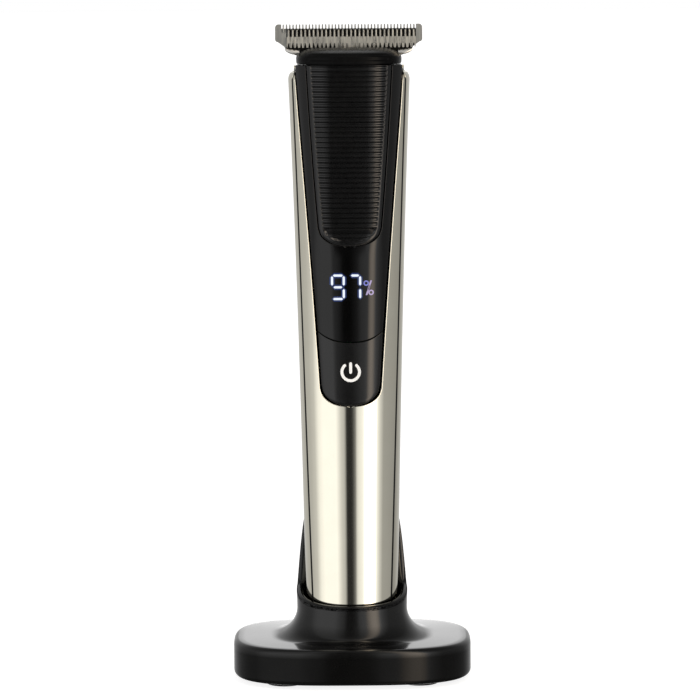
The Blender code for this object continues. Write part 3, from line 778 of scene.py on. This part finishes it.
def make_stand():
    """The stand's moulding: base, flared tower and cup, hollow underneath."""
    cup_out = CUP_CLEARANCE + CUP_WALL
    foot = BASE_TOP + FLARE_RADIUS
    tower = rim_ring(cup_out, foot, 0.0)
    inner = base_ring(-BASE_WALL, 0)
    rings = [
        blended(tower, inner, 0.1, CUP_FLOOR - 1.6),
        blended(tower, inner, 0.3, BASE_TOP - 1.8),
        base_ring(-BASE_WALL - 0.8, BASE_TOP - 2.2),
        base_ring(-BASE_WALL, BASE_TOP - 3.2),
        base_ring(-BASE_WALL, BASE_BOTTOM + 2.0),
        base_ring(-BASE_WALL, BASE_BOTTOM),
    ]
    lower_edge, upper_edge, upper_turn = 1.3, 1.7, 0.43 * pi
    for turn in spread(0.0, pi / 2, 6):
        rings.append(base_ring(-lower_edge * (1 - sin(turn)), BASE_BOTTOM + lower_edge * (1 - cos(turn))))
    rings += [base_ring(0.0, z) for z in spread(BASE_BOTTOM + 1.9, BASE_TOP - 1.6, 6)]
    for turn in spread(pi / 12, upper_turn, 6):
        inset = upper_edge * (1 - cos(turn))
        rings.append(base_ring(-inset, BASE_TOP - 1.4 + upper_edge * sin(turn)))
    start = rings[-1][0][2]
    edge = base_ring(-upper_edge * (1 - cos(upper_turn)), 0)
    reach = FLARE_RADIUS / (BASE_HALF_WIDTH - half_width(foot) - cup_out)
    slope = 0.35  # rise of the base's upper face
    for share in (0.2, 0.5, 0.8):
        rings.append(blended(edge, tower, (1 - reach) * share, start + slope * share))
    for turn in spread(0.0, pi / 2, 16):
        share = 1 - reach * (1 - sin(turn))
        height = start + slope + (foot - start - slope) * (1 - cos(turn))
        rings.append(blended(edge, tower, share, height))
    rings += [rim_ring(cup_out, foot, share) for share in (0.2, 0.4, 0.6, 0.8, 0.93)]
    middle = CUP_CLEARANCE + CUP_WALL / 2
    for turn in spread(0.0, pi, 10):
        rings.append(rim_ring(middle + CUP_WALL / 2 * cos(turn), foot, 1.0, CUP_WALL / 2 * (1 - sin(turn))))
    rings += [rim_ring(CUP_CLEARANCE, foot, share) for share in (0.9, 0.6, 0.3, 0.0)]
    rings += [body_ring(CUP_FLOOR + 2.0, -CUP_CLEARANCE), body_ring(CUP_FLOOR + 0.6, -CUP_CLEARANCE)]
    rings.append(body_ring(CUP_FLOOR, 0.5 - CUP_CLEARANCE))
    made = loft(rings)
    stand = finish_piece("stand_moulding", made, stand_black, "stand", ["stand_body"])
    cutters = []
    for side in SIDES:
        pin = middle_of(f"charge_pin_{side}")
        cutters.append(lathe([(1.7, 8.0), (1.3, 11.6), (1.3, 11.8), (1.9, 12.4)], pin.x, 0.0, 24))
    mouth = [(3.6, 3.4), (4.8, 4.6), (4.8, 6.0), (3.6, 7.2)]  # of the charging socket
    cutters.append(prism_y(mirrored(mouth), 20.0, 30.0))
    cut(stand, *cutters)


def make_stand_details():
    """The feet, the cover under the base, and its screws."""
    foot = [(FOOT_RADIUS - 1.6, 0.25), (FOOT_RADIUS - 1.3, 0.0), (FOOT_RADIUS - 0.35, 0.0)]
    foot += [(FOOT_RADIUS - 0.1, 0.1), (FOOT_RADIUS, 0.35), (FOOT_RADIUS, FOOT_HEIGHT)]
    for index in range(1, 5):
        node = f"stand_foot_{index}"
        centre = middle_of(node)
        made = lathe(foot, centre.x, centre.y)
        finish_piece(f"rubber_foot_{index}", made, rubber, "stand", [node])
    plate_low, plate_high = low("stand_base_plate").z, high("stand_base_plate").z
    inset = -BASE_WALL - 0.3
    rings = [base_ring(inset - 0.4, plate_low), base_ring(inset, plate_low + 0.4)]
    made = loft(rings + [base_ring(inset, plate_high)])
    base = finish_piece("base_cover", made, satin, "stand", ["stand_base_plate"])
    hole = [(2.3, plate_low - 1), (2.3, plate_low + 0.9), (1.3, plate_low + 0.9), (1.3, plate_high + 1)]
    holes = []
    for index in range(1, 5):
        centre = middle_of(f"base_screw_{index}")
        holes.append(lathe(hole, centre.x, centre.y))
        add_screw(f"base_screw_{index}", centre.x, centre.y, plate_low + 0.1)
    cut(base, *holes)


def add_screw(node, x, y, head):
    """A pan-head screw with a cross recess, its head down."""
    top, radius, pitch = high(node).z, 2.0, 0.35
    profile = [(radius - 0.4, head), (radius, head + 0.35), (radius, head + 0.6), (0.9, head + 0.6)]
    for i in range(ceil((top - head - 1.2) / pitch)):
        z = head + 0.8 + i * pitch
        profile += [(0.85, z), (1.0, z + 0.17)]
    profile.append((0.5, top))
    made = lathe(profile, x, y, 32)
    piece = finish_piece(f"{node}_threaded", made, plain_steel, "stand", [node])
    arm, slot = 1.1, 0.22
    recess = [box((x - arm, y - slot, head - 1), (x + arm, y + slot, head + 0.4))]
    recess.append(box((x - slot, y - arm, head - 1), (x + slot, y + arm, head + 0.4)))
    cut(piece, *recess)


def make_pins():
    """The stand's two charging pins, gold with rounded tips."""
    for side in SIDES:
        node = f"charge_pin_{side}"
        centre, bottom, top = middle_of(node), low(node).z, high(node).z
        profile = [(0.8, bottom), (1.0, bottom + 0.2), (1.0, top - 0.6)]
        profile += [(0.95, top - 0.4), (0.8, top - 0.17), (0.5, top - 0.04), (0.2, top)]
        made = lathe(profile, centre.x, centre.y, 32)
        finish_piece(f"{node}_tip", made, gold, node, [node])


# ---------------------------------------------------------------- chrome shells


def make_front_shell():
    """The front shell: chrome, with a notch for the black face and a bright rolled lip round it."""
    lip = 0.3

    def outer(z):
        return girth(z) * cos(seam_angle(z)) ** (2 / BODY_POWER) - SEAM_ROLL

    def notch(z):
        return narrowed(face_side, z + lip, FACE_BOTTOM) + FIT + lip

    bottom = SHELL_BOTTOM + SEAM_ROLL
    notch_bottom = FACE_BOTTOM - FIT - lip
    lower_rows = [lambda x, z=z: z for z in spread(bottom, notch_bottom, 34)]
    upper = [z - lip for z in arch_heights(FACE_BOTTOM)]
    upper += spread(FACE_BOTTOM + FACE_END, SHELL_TOP - SHOULDER, 60)[1:]
    upper += spread(SHELL_TOP - SHOULDER, SHELL_TOP - SEAM_ROLL, 8)[1:]

    def opening(z):
        return notch(max(z, notch_bottom + 0.02))

    skin = notched_skin(chrome_front, lower_rows, outer, opening, notch_bottom, upper, 26, 4, ARM_RISE)
    skin_piece(
        "chrome_front", skin, SHELL_WALL, SEAM_ROLL, chrome, "groomer", "front_shell"
    )


def make_rear_shell():
    """The rear shell: chrome all round the back, from seam to seam."""
    margin = SEAM_SLACK + SEAM_ROLL / half_width(90)
    heights = spread(SHELL_BOTTOM + SEAM_ROLL, SHELL_TOP - SHOULDER, 70)
    heights += spread(SHELL_TOP - SHOULDER, SHELL_TOP - SEAM_ROLL, 8)[1:]
    rows = []
    for z in heights:
        first = margin - seam_angle(z)
        rows.append([(angle, z) for angle in spread(first, pi - first, 150)])
    skin = plate(chrome_round, rows)
    skin_piece(
        "chrome_rear", skin, SHELL_WALL, SEAM_ROLL, chrome, "groomer", "rear_shell"
    )


# ---------------------------------------------------------------- black face


def make_parting_strips():
    """The dark strips that close the joint between the two halves of the casing."""
    made = bmesh.new()
    reach = STRIP_WIDTH / 2
    profile = ((-1.0, -1.2), (-1.0, -0.02), (-0.8, 0.03), (0.8, 0.03), (1.0, -0.02), (1.0, -1.2))
    for side in (-1, 1):
        rings = []
        for z in spread(SHELL_BOTTOM + 0.4, SHELL_TOP - 0.35, 90):
            angle = seam_angle(z) - SEAM_SLACK / 2
            ring = []
            for along, proud in profile:
                point, normal = chrome_round(-angle + along * reach / half_width(z), z)
                point += normal * proud
                ring.append((side * point.x, point.y, point.z))
            rings.append(ring)
        loft(rings, into=made)
    finish_piece("parting_strips", made, seam_black, "groomer", sharp=50.0)


def make_button():
    """The button plate: it narrows at its lower end, and its top edge rises at the sides."""
    top = BUTTON_TOP - FIT - FACE_ROLL
    across = [sin(turn) for turn in spread(-pi / 2, pi / 2, 48)]
    rows = []
    for z in arch_heights(FACE_BOTTOM) + spread(FACE_BOTTOM + FACE_END, top, 24)[1:]:
        width = narrowed(face_side, z, FACE_BOTTOM) - FIT - FACE_ROLL
        rise = BUTTON_ARC * share_between(FACE_BOTTOM, top, z)
        rows.append([(u * width, z + rise * abs(u) ** ARC_POWER) for u in across])
    skin = plate(on_front(face_y), rows)
    skin_piece(
        "power_button_cap", skin, PLATE_DEPTH, FACE_ROLL, button_black, "power_button",
        "power_button", BACKWARD,
    )


def make_fascia():
    """The gloss window above the button, with a notch for the grip."""
    roll = FACE_ROLL

    def outer(z):
        return face_side(z) - FIT - roll

    def notch(z):
        return narrowed(grip_side, max(z + roll, GRIP_BOTTOM + 0.02), GRIP_BOTTOM) + FIT + roll

    bottom = BUTTON_TOP + FIT + roll
    notch_bottom = GRIP_BOTTOM - FIT - roll

    def row(z):
        fade = BUTTON_ARC * (notch_bottom - z) / (notch_bottom - bottom)
        return lambda x: z + fade * abs(x / outer(z)) ** ARC_POWER

    lower_rows = [row(z) for z in spread(bottom, notch_bottom, 40)]
    upper = [z - roll for z in arch_heights(GRIP_BOTTOM)]
    upper += spread(GRIP_BOTTOM + FACE_END, FACE_TOP - roll, 40)[1:]
    skin = notched_skin(on_front(face_y), lower_rows, outer, notch, notch_bottom, upper, 22, 6)
    skin_piece(
        "display_window", skin, WINDOW_DEPTH, roll, gloss, "groomer",
        "display_fascia", BACKWARD,
    )


def make_grip():
    """The ribbed grip, with rows close enough for its grooves."""
    roll = 0.1
    start, end = GRIP_BOTTOM + FACE_END, GRIP_TOP - roll
    steps = ceil((end - start) / RIB_PITCH * 9)
    rows = []
    for z in arch_heights(GRIP_BOTTOM) + spread(start, end, steps)[1:]:
        edge = narrowed(grip_side, z, GRIP_BOTTOM) - FIT - roll
        border = min(2.0, edge * 0.4)
        inner = spread(border - edge, edge - border, 30)
        left = spread(-edge, border - edge, 10)[:-1]
        rows.append([(x, z) for x in left + inner + [-x for x in reversed(left)]])
    skin = plate(on_front(grip_y), rows)
    skin_piece(
        "ribbed_grip", skin, PLATE_DEPTH, roll, ribbed, "groomer", "thumb_grip", BACKWARD
    )


def face_tile(outline, made, lift=TILE_LIFT):
    """A thin tile on the black face, from a convex outline of (x, z)."""
    front = [(x, face_y(x, z) - lift, z) for x, z in outline]
    back = [(x, y + TILE_DEPTH, z) for x, y, z in front]
    loft([front, back], into=made)


def face_arc(made, centre, radius, stroke, start, end, closed=False):
    """A stroke along an arc on the black face, square in section, with rounded ends if it is open."""
    rings = []
    along = spread(start, end, 40)
    for turn in along[:-1] if closed else along:
        points = []
        for reach, sunk in ((-0.5, 0), (0.5, 0), (0.5, TILE_DEPTH), (-0.5, TILE_DEPTH)):
            x = centre[0] + (radius + reach * stroke) * cos(turn)
            z = centre[1] + (radius + reach * stroke) * sin(turn)
            points.append((x, face_y(x, z) - TILE_LIFT + sunk, z))
        rings.append(points)
    loft(rings, closed, into=made)
    if closed:
        return
    for turn in (start, end):
        x, z = centre[0] + radius * cos(turn), centre[1] + radius * sin(turn)
        outline = [(x + stroke / 2 * cos(a), z + stroke / 2 * sin(a)) for a in around(20)]
        face_tile(outline, made, TILE_LIFT * 0.98)


def segment(centre, length, width, upright):
    """The outline of a display segment: a bar with pointed ends."""
    half, thick = length / 2, width / 2
    outline = [(-half, 0.0), (thick - half, thick), (half - thick, thick)]
    outline += [(half, 0.0), (half - thick, -thick), (thick - half, -thick)]
    if upright:
        outline = [(z, x) for x, z in outline]
    return [(centre[0] + x, centre[1] + z) for x, z in outline]


def make_digits():
    """The lit percentage: two seven-segment digits, a small percent sign, and the glow round the digits."""
    low_z, digit, stroke, glow = 103.1, 6.85, 0.60, 0.8
    middle, top = low_z + digit / 2, low_z + digit
    segments, halo = bmesh.new(), bmesh.new()

    def draw(left, right, parts):
        centre = (left + right) / 2
        span, tall = right - left - 1.05, digit / 2 - 0.9
        places = {
            "top": ((centre, top - stroke / 2), span, False),
            "middle": ((centre, middle), span - 0.3, False),
            "bottom": ((centre, low_z + stroke / 2), span, False),
            "upper_left": ((left + stroke / 2, middle + digit / 4), tall, True),
            "upper_right": ((right - stroke / 2, middle + digit / 4), tall, True),
            "lower_right": ((right - stroke / 2, middle - digit / 4), tall, True),
        }
        for part in parts:
            at, length, upright = places[part]
            face_tile(segment(at, length, stroke, upright), segments, TILE_LIFT + 0.02)
            face_tile(segment(at, length + glow, stroke + glow, upright), halo)

    draw(-5.1, -1.4, ("top", "middle", "bottom", "upper_left", "upper_right", "lower_right"))
    draw(-0.3, 2.95, ("top", "upper_right", "lower_right"))
    finish_piece("display_digits", segments, lit_white, "groomer")
    finish_piece("display_glow", halo, lit_halo, "groomer")
    upper, lower = bmesh.new(), bmesh.new()
    face_arc(upper, (4.25, 107.6), 0.55, 0.36, 0.0, 2 * pi, True)
    face_arc(lower, (5.55, 105.1), 0.55, 0.36, 0.0, 2 * pi, True)
    face_tile([(4.1, 104.4), (4.55, 104.4), (5.8, 108.3), (5.35, 108.3)], lower)
    finish_piece("display_percent_ring", upper, lit_blue, "groomer")
    finish_piece("display_percent", lower, lit_lilac, "groomer")


def make_power_icon():
    """The power symbol, printed white on the button."""
    made = bmesh.new()
    centre, radius, stroke = (0.0, BUTTON_ICON_Z), 2.34, 0.76
    face_arc(made, centre, radius, stroke, radians(132), radians(408))
    bottom, top = BUTTON_ICON_Z - 0.1, BUTTON_ICON_Z + 2.6
    half = stroke / 2
    cap = [(half * cos(a), bottom + half * sin(a)) for a in spread(-pi, 0, 10)]
    cap += [(half * cos(a), top - half + half * sin(a)) for a in spread(0, pi, 10)]
    face_tile(cap, made)
    finish_piece("power_symbol", made, white_ink, "power_button", ["power_icon"])


# ---------------------------------------------------------------- ends of the groomer


def make_foot_cap():
    """The cap under the groomer, with its two charging contacts."""
    edge = ((2.2, 0.0), (1.5, 0.1), (1.0, 0.4), (0.6, 1.0), (0.35, 1.8))
    rings = [body_ring(BODY_BOTTOM + rise, inset) for inset, rise in edge]
    rings.append(body_ring(SHELL_BOTTOM - 0.3, 0.3))
    cap = finish_piece("foot_cap", loft(rings), satin, "groomer", ["bottom_cap"])
    hole = [(2.9, BODY_BOTTOM - 0.3), (2.3, BODY_BOTTOM + 0.4), (2.3, SHELL_BOTTOM + 1)]
    holes = []
    for side in SIDES:
        node = f"charge_contact_{side}"
        x, bottom = middle_of(node).x, low(node).z
        holes.append(lathe(hole, x, 0.0))
        pad = [(0.7, bottom + 0.15), (1.0, bottom + 0.02), (1.6, bottom), (1.9, bottom + 0.12)]
        pad += [(2.0, bottom + 0.4), (2.0, high(node).z)]
        finish_piece(f"contact_pad_{side}", lathe(pad, x, 0.0), gold, "groomer", [node])
    cut(cap, *holes)


def eased(rings, steps):
    """More rings between the given (z, side, front, rear), on a smooth curve through them."""
    made = []
    for i in range(len(rings) - 1):
        before, first = rings[max(0, i - 1)], rings[i]
        second, after = rings[i + 1], rings[min(len(rings) - 1, i + 2)]
        for step in range(steps):
            t = step / steps
            point = []
            for a, b, c, d in zip(before, first, second, after):
                bend, twist = 2 * a - 5 * b + 4 * c - d, 3 * b - a - 3 * c + d
                point.append(b + 0.5 * ((c - a) * t + bend * t**2 + twist * t**3))
            made.append(tuple(point))
    made.append(rings[-1])
    return made


def make_collar():
    """The ring inside the casing's top, which the head sits on."""
    bottom, top = 151.0, NECK_JOINT - 0.3
    outer = [(SHELL_TOP + 0.3, 14.75, 12.0, 14.3), (SHELL_TOP + 0.6, 14.6, 12.0, 14.2)]
    outer += [(SHELL_TOP + 1.2, 14.1, 11.9, 13.9), (top - 0.2, 13.95, 11.7, 13.7), (top, 13.75, 11.5, 13.5)]
    rings = [(bottom, 13.6, 12.0, 12.8), (SHELL_TOP + 0.1, 14.2, 12.0, 13.4)] + eased(outer, 3)
    rings += [(top, 12.2, 9.7, 10.8), (bottom, 12.0, 10.0, 11.0)]
    made = loft([ring_at(*row) for row in rings], closed=True)
    finish_piece("neck_ring", made, satin, "groomer", ["neck_collar"])


def make_head():
    """The head: it carries on the face over the neck joint, and arches back to the blades."""
    joint = NECK_JOINT
    shoulder = (  # height above the joint, half width, and reach to the front and to the back
        (0.0, 13.85, 14.85, 13.4), (0.08, 13.98, 14.95, 13.5), (0.7, 14.05, 15.0, 13.6),
        (1.5, 14.05, 14.85, 12.8), (2.3, 13.7, 14.3, 11.2), (3.1, 12.8, 13.0, 8.8),
        (3.7, 11.3, 10.7, 6.6), (4.05, 9.6, 8.0, 4.8), (4.15, 8.4, 6.4, 3.8),
    )
    rows = [(158.0, 10.8, 8.4, 9.4), (158.4, 11.2, 8.8, 9.8), (joint, 11.4, 8.9, 10.0)]
    rings = [ring_at(*row, 2 * COLUMNS) for row in rows]
    for rise, side, front, rear in eased(shoulder, 6):
        wave = (0.5 + 0.5 * cos(2 * pi * rise / RIB_PITCH)) ** 1.2
        groove = 0.8 * RIB_DEPTH * wave * smooth(3.0, 2.0, rise) * smooth(0.6, 0.8, rise)
        ring = []
        for x, y, z in ring_at(joint + rise, side, front, rear, 2 * COLUMNS, 3.2):
            inside = smooth(10.9, 9.9, abs(x)) if y < 0 else 0.0
            ring.append((x, y + groove * inside, z))
        rings.append(ring)
    housing = finish_piece(
        "head_shoulder", loft(rings), head_black, "head", ["head_housing"], sharp=60.0
    )
    above = 172.0  # clear of the head's top
    blade_slot = box((-16.0, -3.0, 166.0), (16.0, FIXED_BACK + 0.3, above))
    stem_slot = box((-9.5, CUTTER_BACK - 0.3, 159.5), (9.5, 4.4, above))
    drive_slot = box((-5.5, -5.0, 150.0), (5.5, 0.2, 166.1))
    cut(housing, blade_slot, stem_slot, drive_slot)


# ---------------------------------------------------------------- blades


def tooth(made, x, root, tip, front, back, wide, narrow, taper):
    """One closed tooth: rounded in section, thinner and narrower towards its tip."""
    rings = []
    middle = (front + back) / 2
    for share in (0.0, 0.35, 0.7, 0.9, 1.0):
        z = root + (tip - root) * share
        blunt = 0.6 if share == 1.0 else 1.0
        half = blunt * (wide + (narrow - wide) * share)
        thick = blunt * (back - front) / 2 * (1 - taper * share)
        points = []
        for turn in around(12):
            u, v = section(turn, half, thick, thick, 4.0)
            points.append((x + u, middle + v, z))
        rings.append(points)
    loft(rings, into=made)


def places_of(count, pitch, centre=0.0):
    return [centre + pitch * (i - (count - 1) / 2) for i in range(count)]


def make_fixed_blade():
    """The comb: a ground plate with a guard at each end and a row of teeth between them."""
    pitch, count = 0.87, 41
    guard = pitch * count / 2
    end = BLADE_HALF_WIDTH
    root = BLADE_TOP - 2.3
    top_round, foot_round, foot = 0.9, 0.7, 171.7  # the guard's rounded corners
    right = [(guard, root + 0.02), (guard + 0.12, root + 1.0), (guard + 0.12, BLADE_TOP - 0.1)]
    right.append((guard + 0.25, BLADE_TOP))
    quarter = spread(0.0, pi / 2, 6)
    for turn in quarter:
        right.append((end - top_round * (1 - sin(turn)), BLADE_TOP - top_round * (1 - cos(turn))))
    right += [(end - foot_round * (1 - cos(turn)), foot - foot_round * sin(turn)) for turn in quarter]
    right += [(17.15, 169.75), (16.9, 169.15), (16.3, 168.5), (15.3, 167.9), (14.2, 167.5), (12.9, 167.35)]
    right += [(9.0, 166.9), (9.0, 160.0)]
    made = prism_y(mirrored(right), FIXED_FRONT, FIXED_BACK)
    slope = [(FIXED_FRONT + 0.45, root - 0.5), (FIXED_FRONT + 0.45, root), (FIXED_BACK - 0.12, root + 1.15)]
    slope += [(FIXED_BACK - 0.02, root + 1.1), (FIXED_BACK - 0.02, root - 0.5)]
    loft([[(x, y, z) for y, z in slope] for x in (-guard - 0.1, guard + 0.1)], into=made)
    for x in places_of(count, pitch):
        tooth(made, x, root - 0.6, BLADE_TOP, FIXED_FRONT + 0.05, FIXED_BACK - 0.05, 0.27, 0.17, 0.45)
    finish_piece("comb_blade", made, comb_steel, "head", ["fixed_blade"], 30.0, bevel=0.1)


def make_rolled_edges():
    """The bright rounded lower edge of the comb at each side of the head."""
    path = [
        (16.95, 169.2, 0.3), (16.45, 168.95, 0.55), (15.75, 168.75, 0.75), (14.9, 168.55, 0.85),
        (14.0, 168.45, 0.85), (13.2, 168.4, 0.8),
    ]
    made = bmesh.new()
    for side in (-1, 1):
        rings = []
        for at, (x, z, radius) in enumerate(path):
            before, after = path[max(0, at - 1)], path[min(len(path) - 1, at + 1)]
            along = Vector((after[0] - before[0], 0.0, after[1] - before[1])).normalized()
            across = Vector((along.z, 0.0, -along.x))
            ring = []
            for turn in around(14):
                depth = FIXED_FRONT + 0.35 * radius + 0.8 * radius * sin(turn + pi / 7)
                point = Vector((x, depth, z)) + across * radius * cos(turn)
                ring.append((side * point.x, point.y, point.z))
            rings.append(ring)
        loft(rings, into=made)
    finish_piece("comb_rolled_edges", made, rolled_steel, "head", sharp=60.0)


def make_cutter():
    """The moving blade: teeth above, a notched ridge across it, and a saw edge below."""
    pitch, count = 1.11, 31
    half = pitch * count / 2
    root, notch_bottom, ridge_bottom = 172.4, 170.95, 170.7
    saw_top = CUTTER_BOTTOM + 1.5
    saw = [(half, root), (half, CUTTER_BOTTOM + 0.5), (half - 0.15, CUTTER_BOTTOM)]
    for i in range(int(half / pitch)):
        edge = half - i * pitch
        saw += [(edge - 0.25, CUTTER_BOTTOM), (edge - 0.52, saw_top)]
        saw += [(edge - 0.60, saw_top), (edge - 0.87, CUTTER_BOTTOM)]
    made = prism_y(mirrored(saw, CUTTER_CENTRE), CUTTER_FRONT + 0.12, CUTTER_MIDDLE + 0.1)
    stem, shelf, stem_bottom = 4.0, 171.3, 162.0
    upper = [(half, root), (half, shelf), (stem, shelf), (stem, stem_bottom)]
    prism_y(mirrored(upper, CUTTER_CENTRE), CUTTER_MIDDLE, CUTTER_BACK, into=made)
    ridge = mirrored([(half, root), (half, ridge_bottom)], CUTTER_CENTRE)
    for gap in places_of(count - 1, pitch, CUTTER_CENTRE):
        ridge += [(gap - 0.34, root), (gap - 0.05, notch_bottom)]
        ridge += [(gap + 0.05, notch_bottom), (gap + 0.34, root)]
    prism_y(ridge, CUTTER_FRONT, CUTTER_FRONT + 0.4, into=made)
    for x in places_of(count, pitch, CUTTER_CENTRE):
        tooth(made, x, root - 0.6, CUTTER_TIP, CUTTER_FRONT + 0.1, CUTTER_BACK - 0.02, 0.30, 0.22, 0.35)
    finish_piece("cutter_blade", made, cutter_steel, "cutter", ["moving_blade"], 30.0)


# ---------------------------------------------------------------- pieces that keep their CAD mesh


def repaint(finish, names):
    for name in names.split():
        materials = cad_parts[name].data.materials
        materials.clear()
        materials.append(finish.material)


def repaint_inside():
    """The parts inside the casing and the stand keep the CAD's shapes."""
    repaint(plain_steel, "charge_socket blade_bracket blade_screw_left blade_screw_right blade_spring")
    repaint(plain_steel, "pcb_screw_lower pcb_screw_upper motor_screw_left motor_screw_right tact_switch")
    repaint(plain_steel, "battery_tab_lower battery_tab_upper motor motor_shaft cam_pin")
    repaint(board, "stand_pcb main_pcb")
    repaint(satin, "contact_block")
    repaint(chassis, "inner_chassis motor_mount")
    repaint(wrap, "battery_cell")
    repaint(screen, "display_module")
    repaint(nylon, "eccentric_cam drive_follower")


# ---------------------------------------------------------------- studio


def make_floor():
    """A plain white table, with just enough shade left to show a contact shadow."""
    made = bmesh.new()
    bmesh.ops.create_circle(made, cap_ends=True, segments=96, radius=6000 * MM)
    floor = object_from("floor", made)
    table = Finish("white_table")
    table.set(Base_Color=(0.6, 0.6, 0.6, 1.0), Roughness=1.0, Specular_IOR_Level=0.0)
    table.set(Emission_Color=(1.0, 1.0, 1.0, 1.0), Emission_Strength=0.85)
    floor.data.materials.append(table.material)
    floor.visible_glossy = False


# Brightness of the studio round the object, by the angle in degrees from the camera: soft boxes on each
# side with a dark gap between them where the camera stands, and a white backdrop behind.
BRIGHTEST = 4.0
STUDIO = (
    (-180, 1.8), (-172, 0.60), (-165, 0.50), (-128, 0.40), (-98, 0.45), (-79, 0.55), (-63, 0.92), (-49, 1.05),
    (-18, 1.05), (-10, 0.62), (-5.0, 0.45), (-4.4, 0.35), (-3.8, 0.03), (0.6, 0.02), (1.4, 0.10), (2.6, 0.16),
    (4.0, 0.60), (6.0, 0.80), (13.0, 1.0), (17.0, 2.1), (23.0, 3.3), (30.0, 3.6), (36.0, 2.6), (40.0, 1.5),
    (44.0, 0.95), (53.0, 0.60), (64.0, 0.34), (125.0, 0.27), (158.0, 0.45), (172.0, 0.60), (180, 1.8),
)
WARM = (16.0, 40.0)  # the strip of warmer light
WARM_TINT = (1.15, 1.0, 0.84)
WHITE = (1.0, 1.0, 1.0)


def make_studio():
    """The strips light the object, less from below and above. The camera sees plain white."""
    world = bpy.data.worlds.new("studio")
    world.use_nodes = True
    bpy.context.scene.world = world
    world.node_tree.nodes.clear()
    made = Nodes(world.node_tree)
    direction = made.node("TexCoord").outputs["Generated"]
    x, y, z = made.node("SeparateXYZ", {0: direction}).outputs
    azimuth = made.math("ARCTAN2", x, made.math("MULTIPLY", y, -1.0))
    stops = []
    for angle, bright in STUDIO:
        tint = WARM_TINT if WARM[0] < angle < WARM[1] else WHITE
        stops.append((angle / 360 + 0.5, tuple(bright / BRIGHTEST * part for part in tint)))
    strips = made.ramp(made.math("ADD", made.math("MULTIPLY", azimuth, 0.5 / pi), 0.5), *stops)
    below = made.range(z, -0.55, -0.3, 0.25 * BRIGHTEST, BRIGHTEST)
    above = made.range(z, 0.45, 0.95, 1.0, 0.45)
    lit = made.node("Background", {"Color": strips, "Strength": made.math("MULTIPLY", below, above)})
    plain = made.node("Background", {"Color": (*WHITE, 1.0)})
    to_camera = made.node("LightPath").outputs["Is Camera Ray"]
    mix = made.node("MixShader", {"Fac": to_camera, 1: lit.outputs[0], 2: plain.outputs[0]})
    made.node("OutputWorld", {"Surface": mix.outputs[0]})
    bpy.context.scene.view_settings.view_transform = "Standard"


def make_camera():
    """A long lens a little above the object, rolled slightly as the object leans in the view."""
    camera = bpy.data.cameras.new("camera")
    camera.sensor_width = 36.0
    camera.lens = 211.8
    camera.clip_start = 0.05
    camera.clip_end = 50.0
    obj = bpy.data.objects.new("camera", camera)
    bpy.context.scene.collection.objects.link(obj)
    place, target = Vector((0.0, -1100.0, 212.0)), Vector((-0.15, 0.0, 88.3))
    look = (target - place).to_track_quat("-Z", "Y").to_matrix()
    roll = Matrix.Rotation(radians(-0.35), 3, "Z")
    obj.matrix_world = Matrix.Translation(place * MM) @ (look @ roll).to_4x4()
    bpy.context.scene.camera = obj


make_camera()
make_studio()
make_floor()
make_stand()
make_stand_details()
make_pins()
make_front_shell()
make_rear_shell()
make_parting_strips()
make_button()
make_fascia()
make_grip()
make_digits()
make_power_icon()
make_foot_cap()
make_collar()
make_head()
make_fixed_blade()
make_rolled_edges()
make_cutter()
repaint_inside()
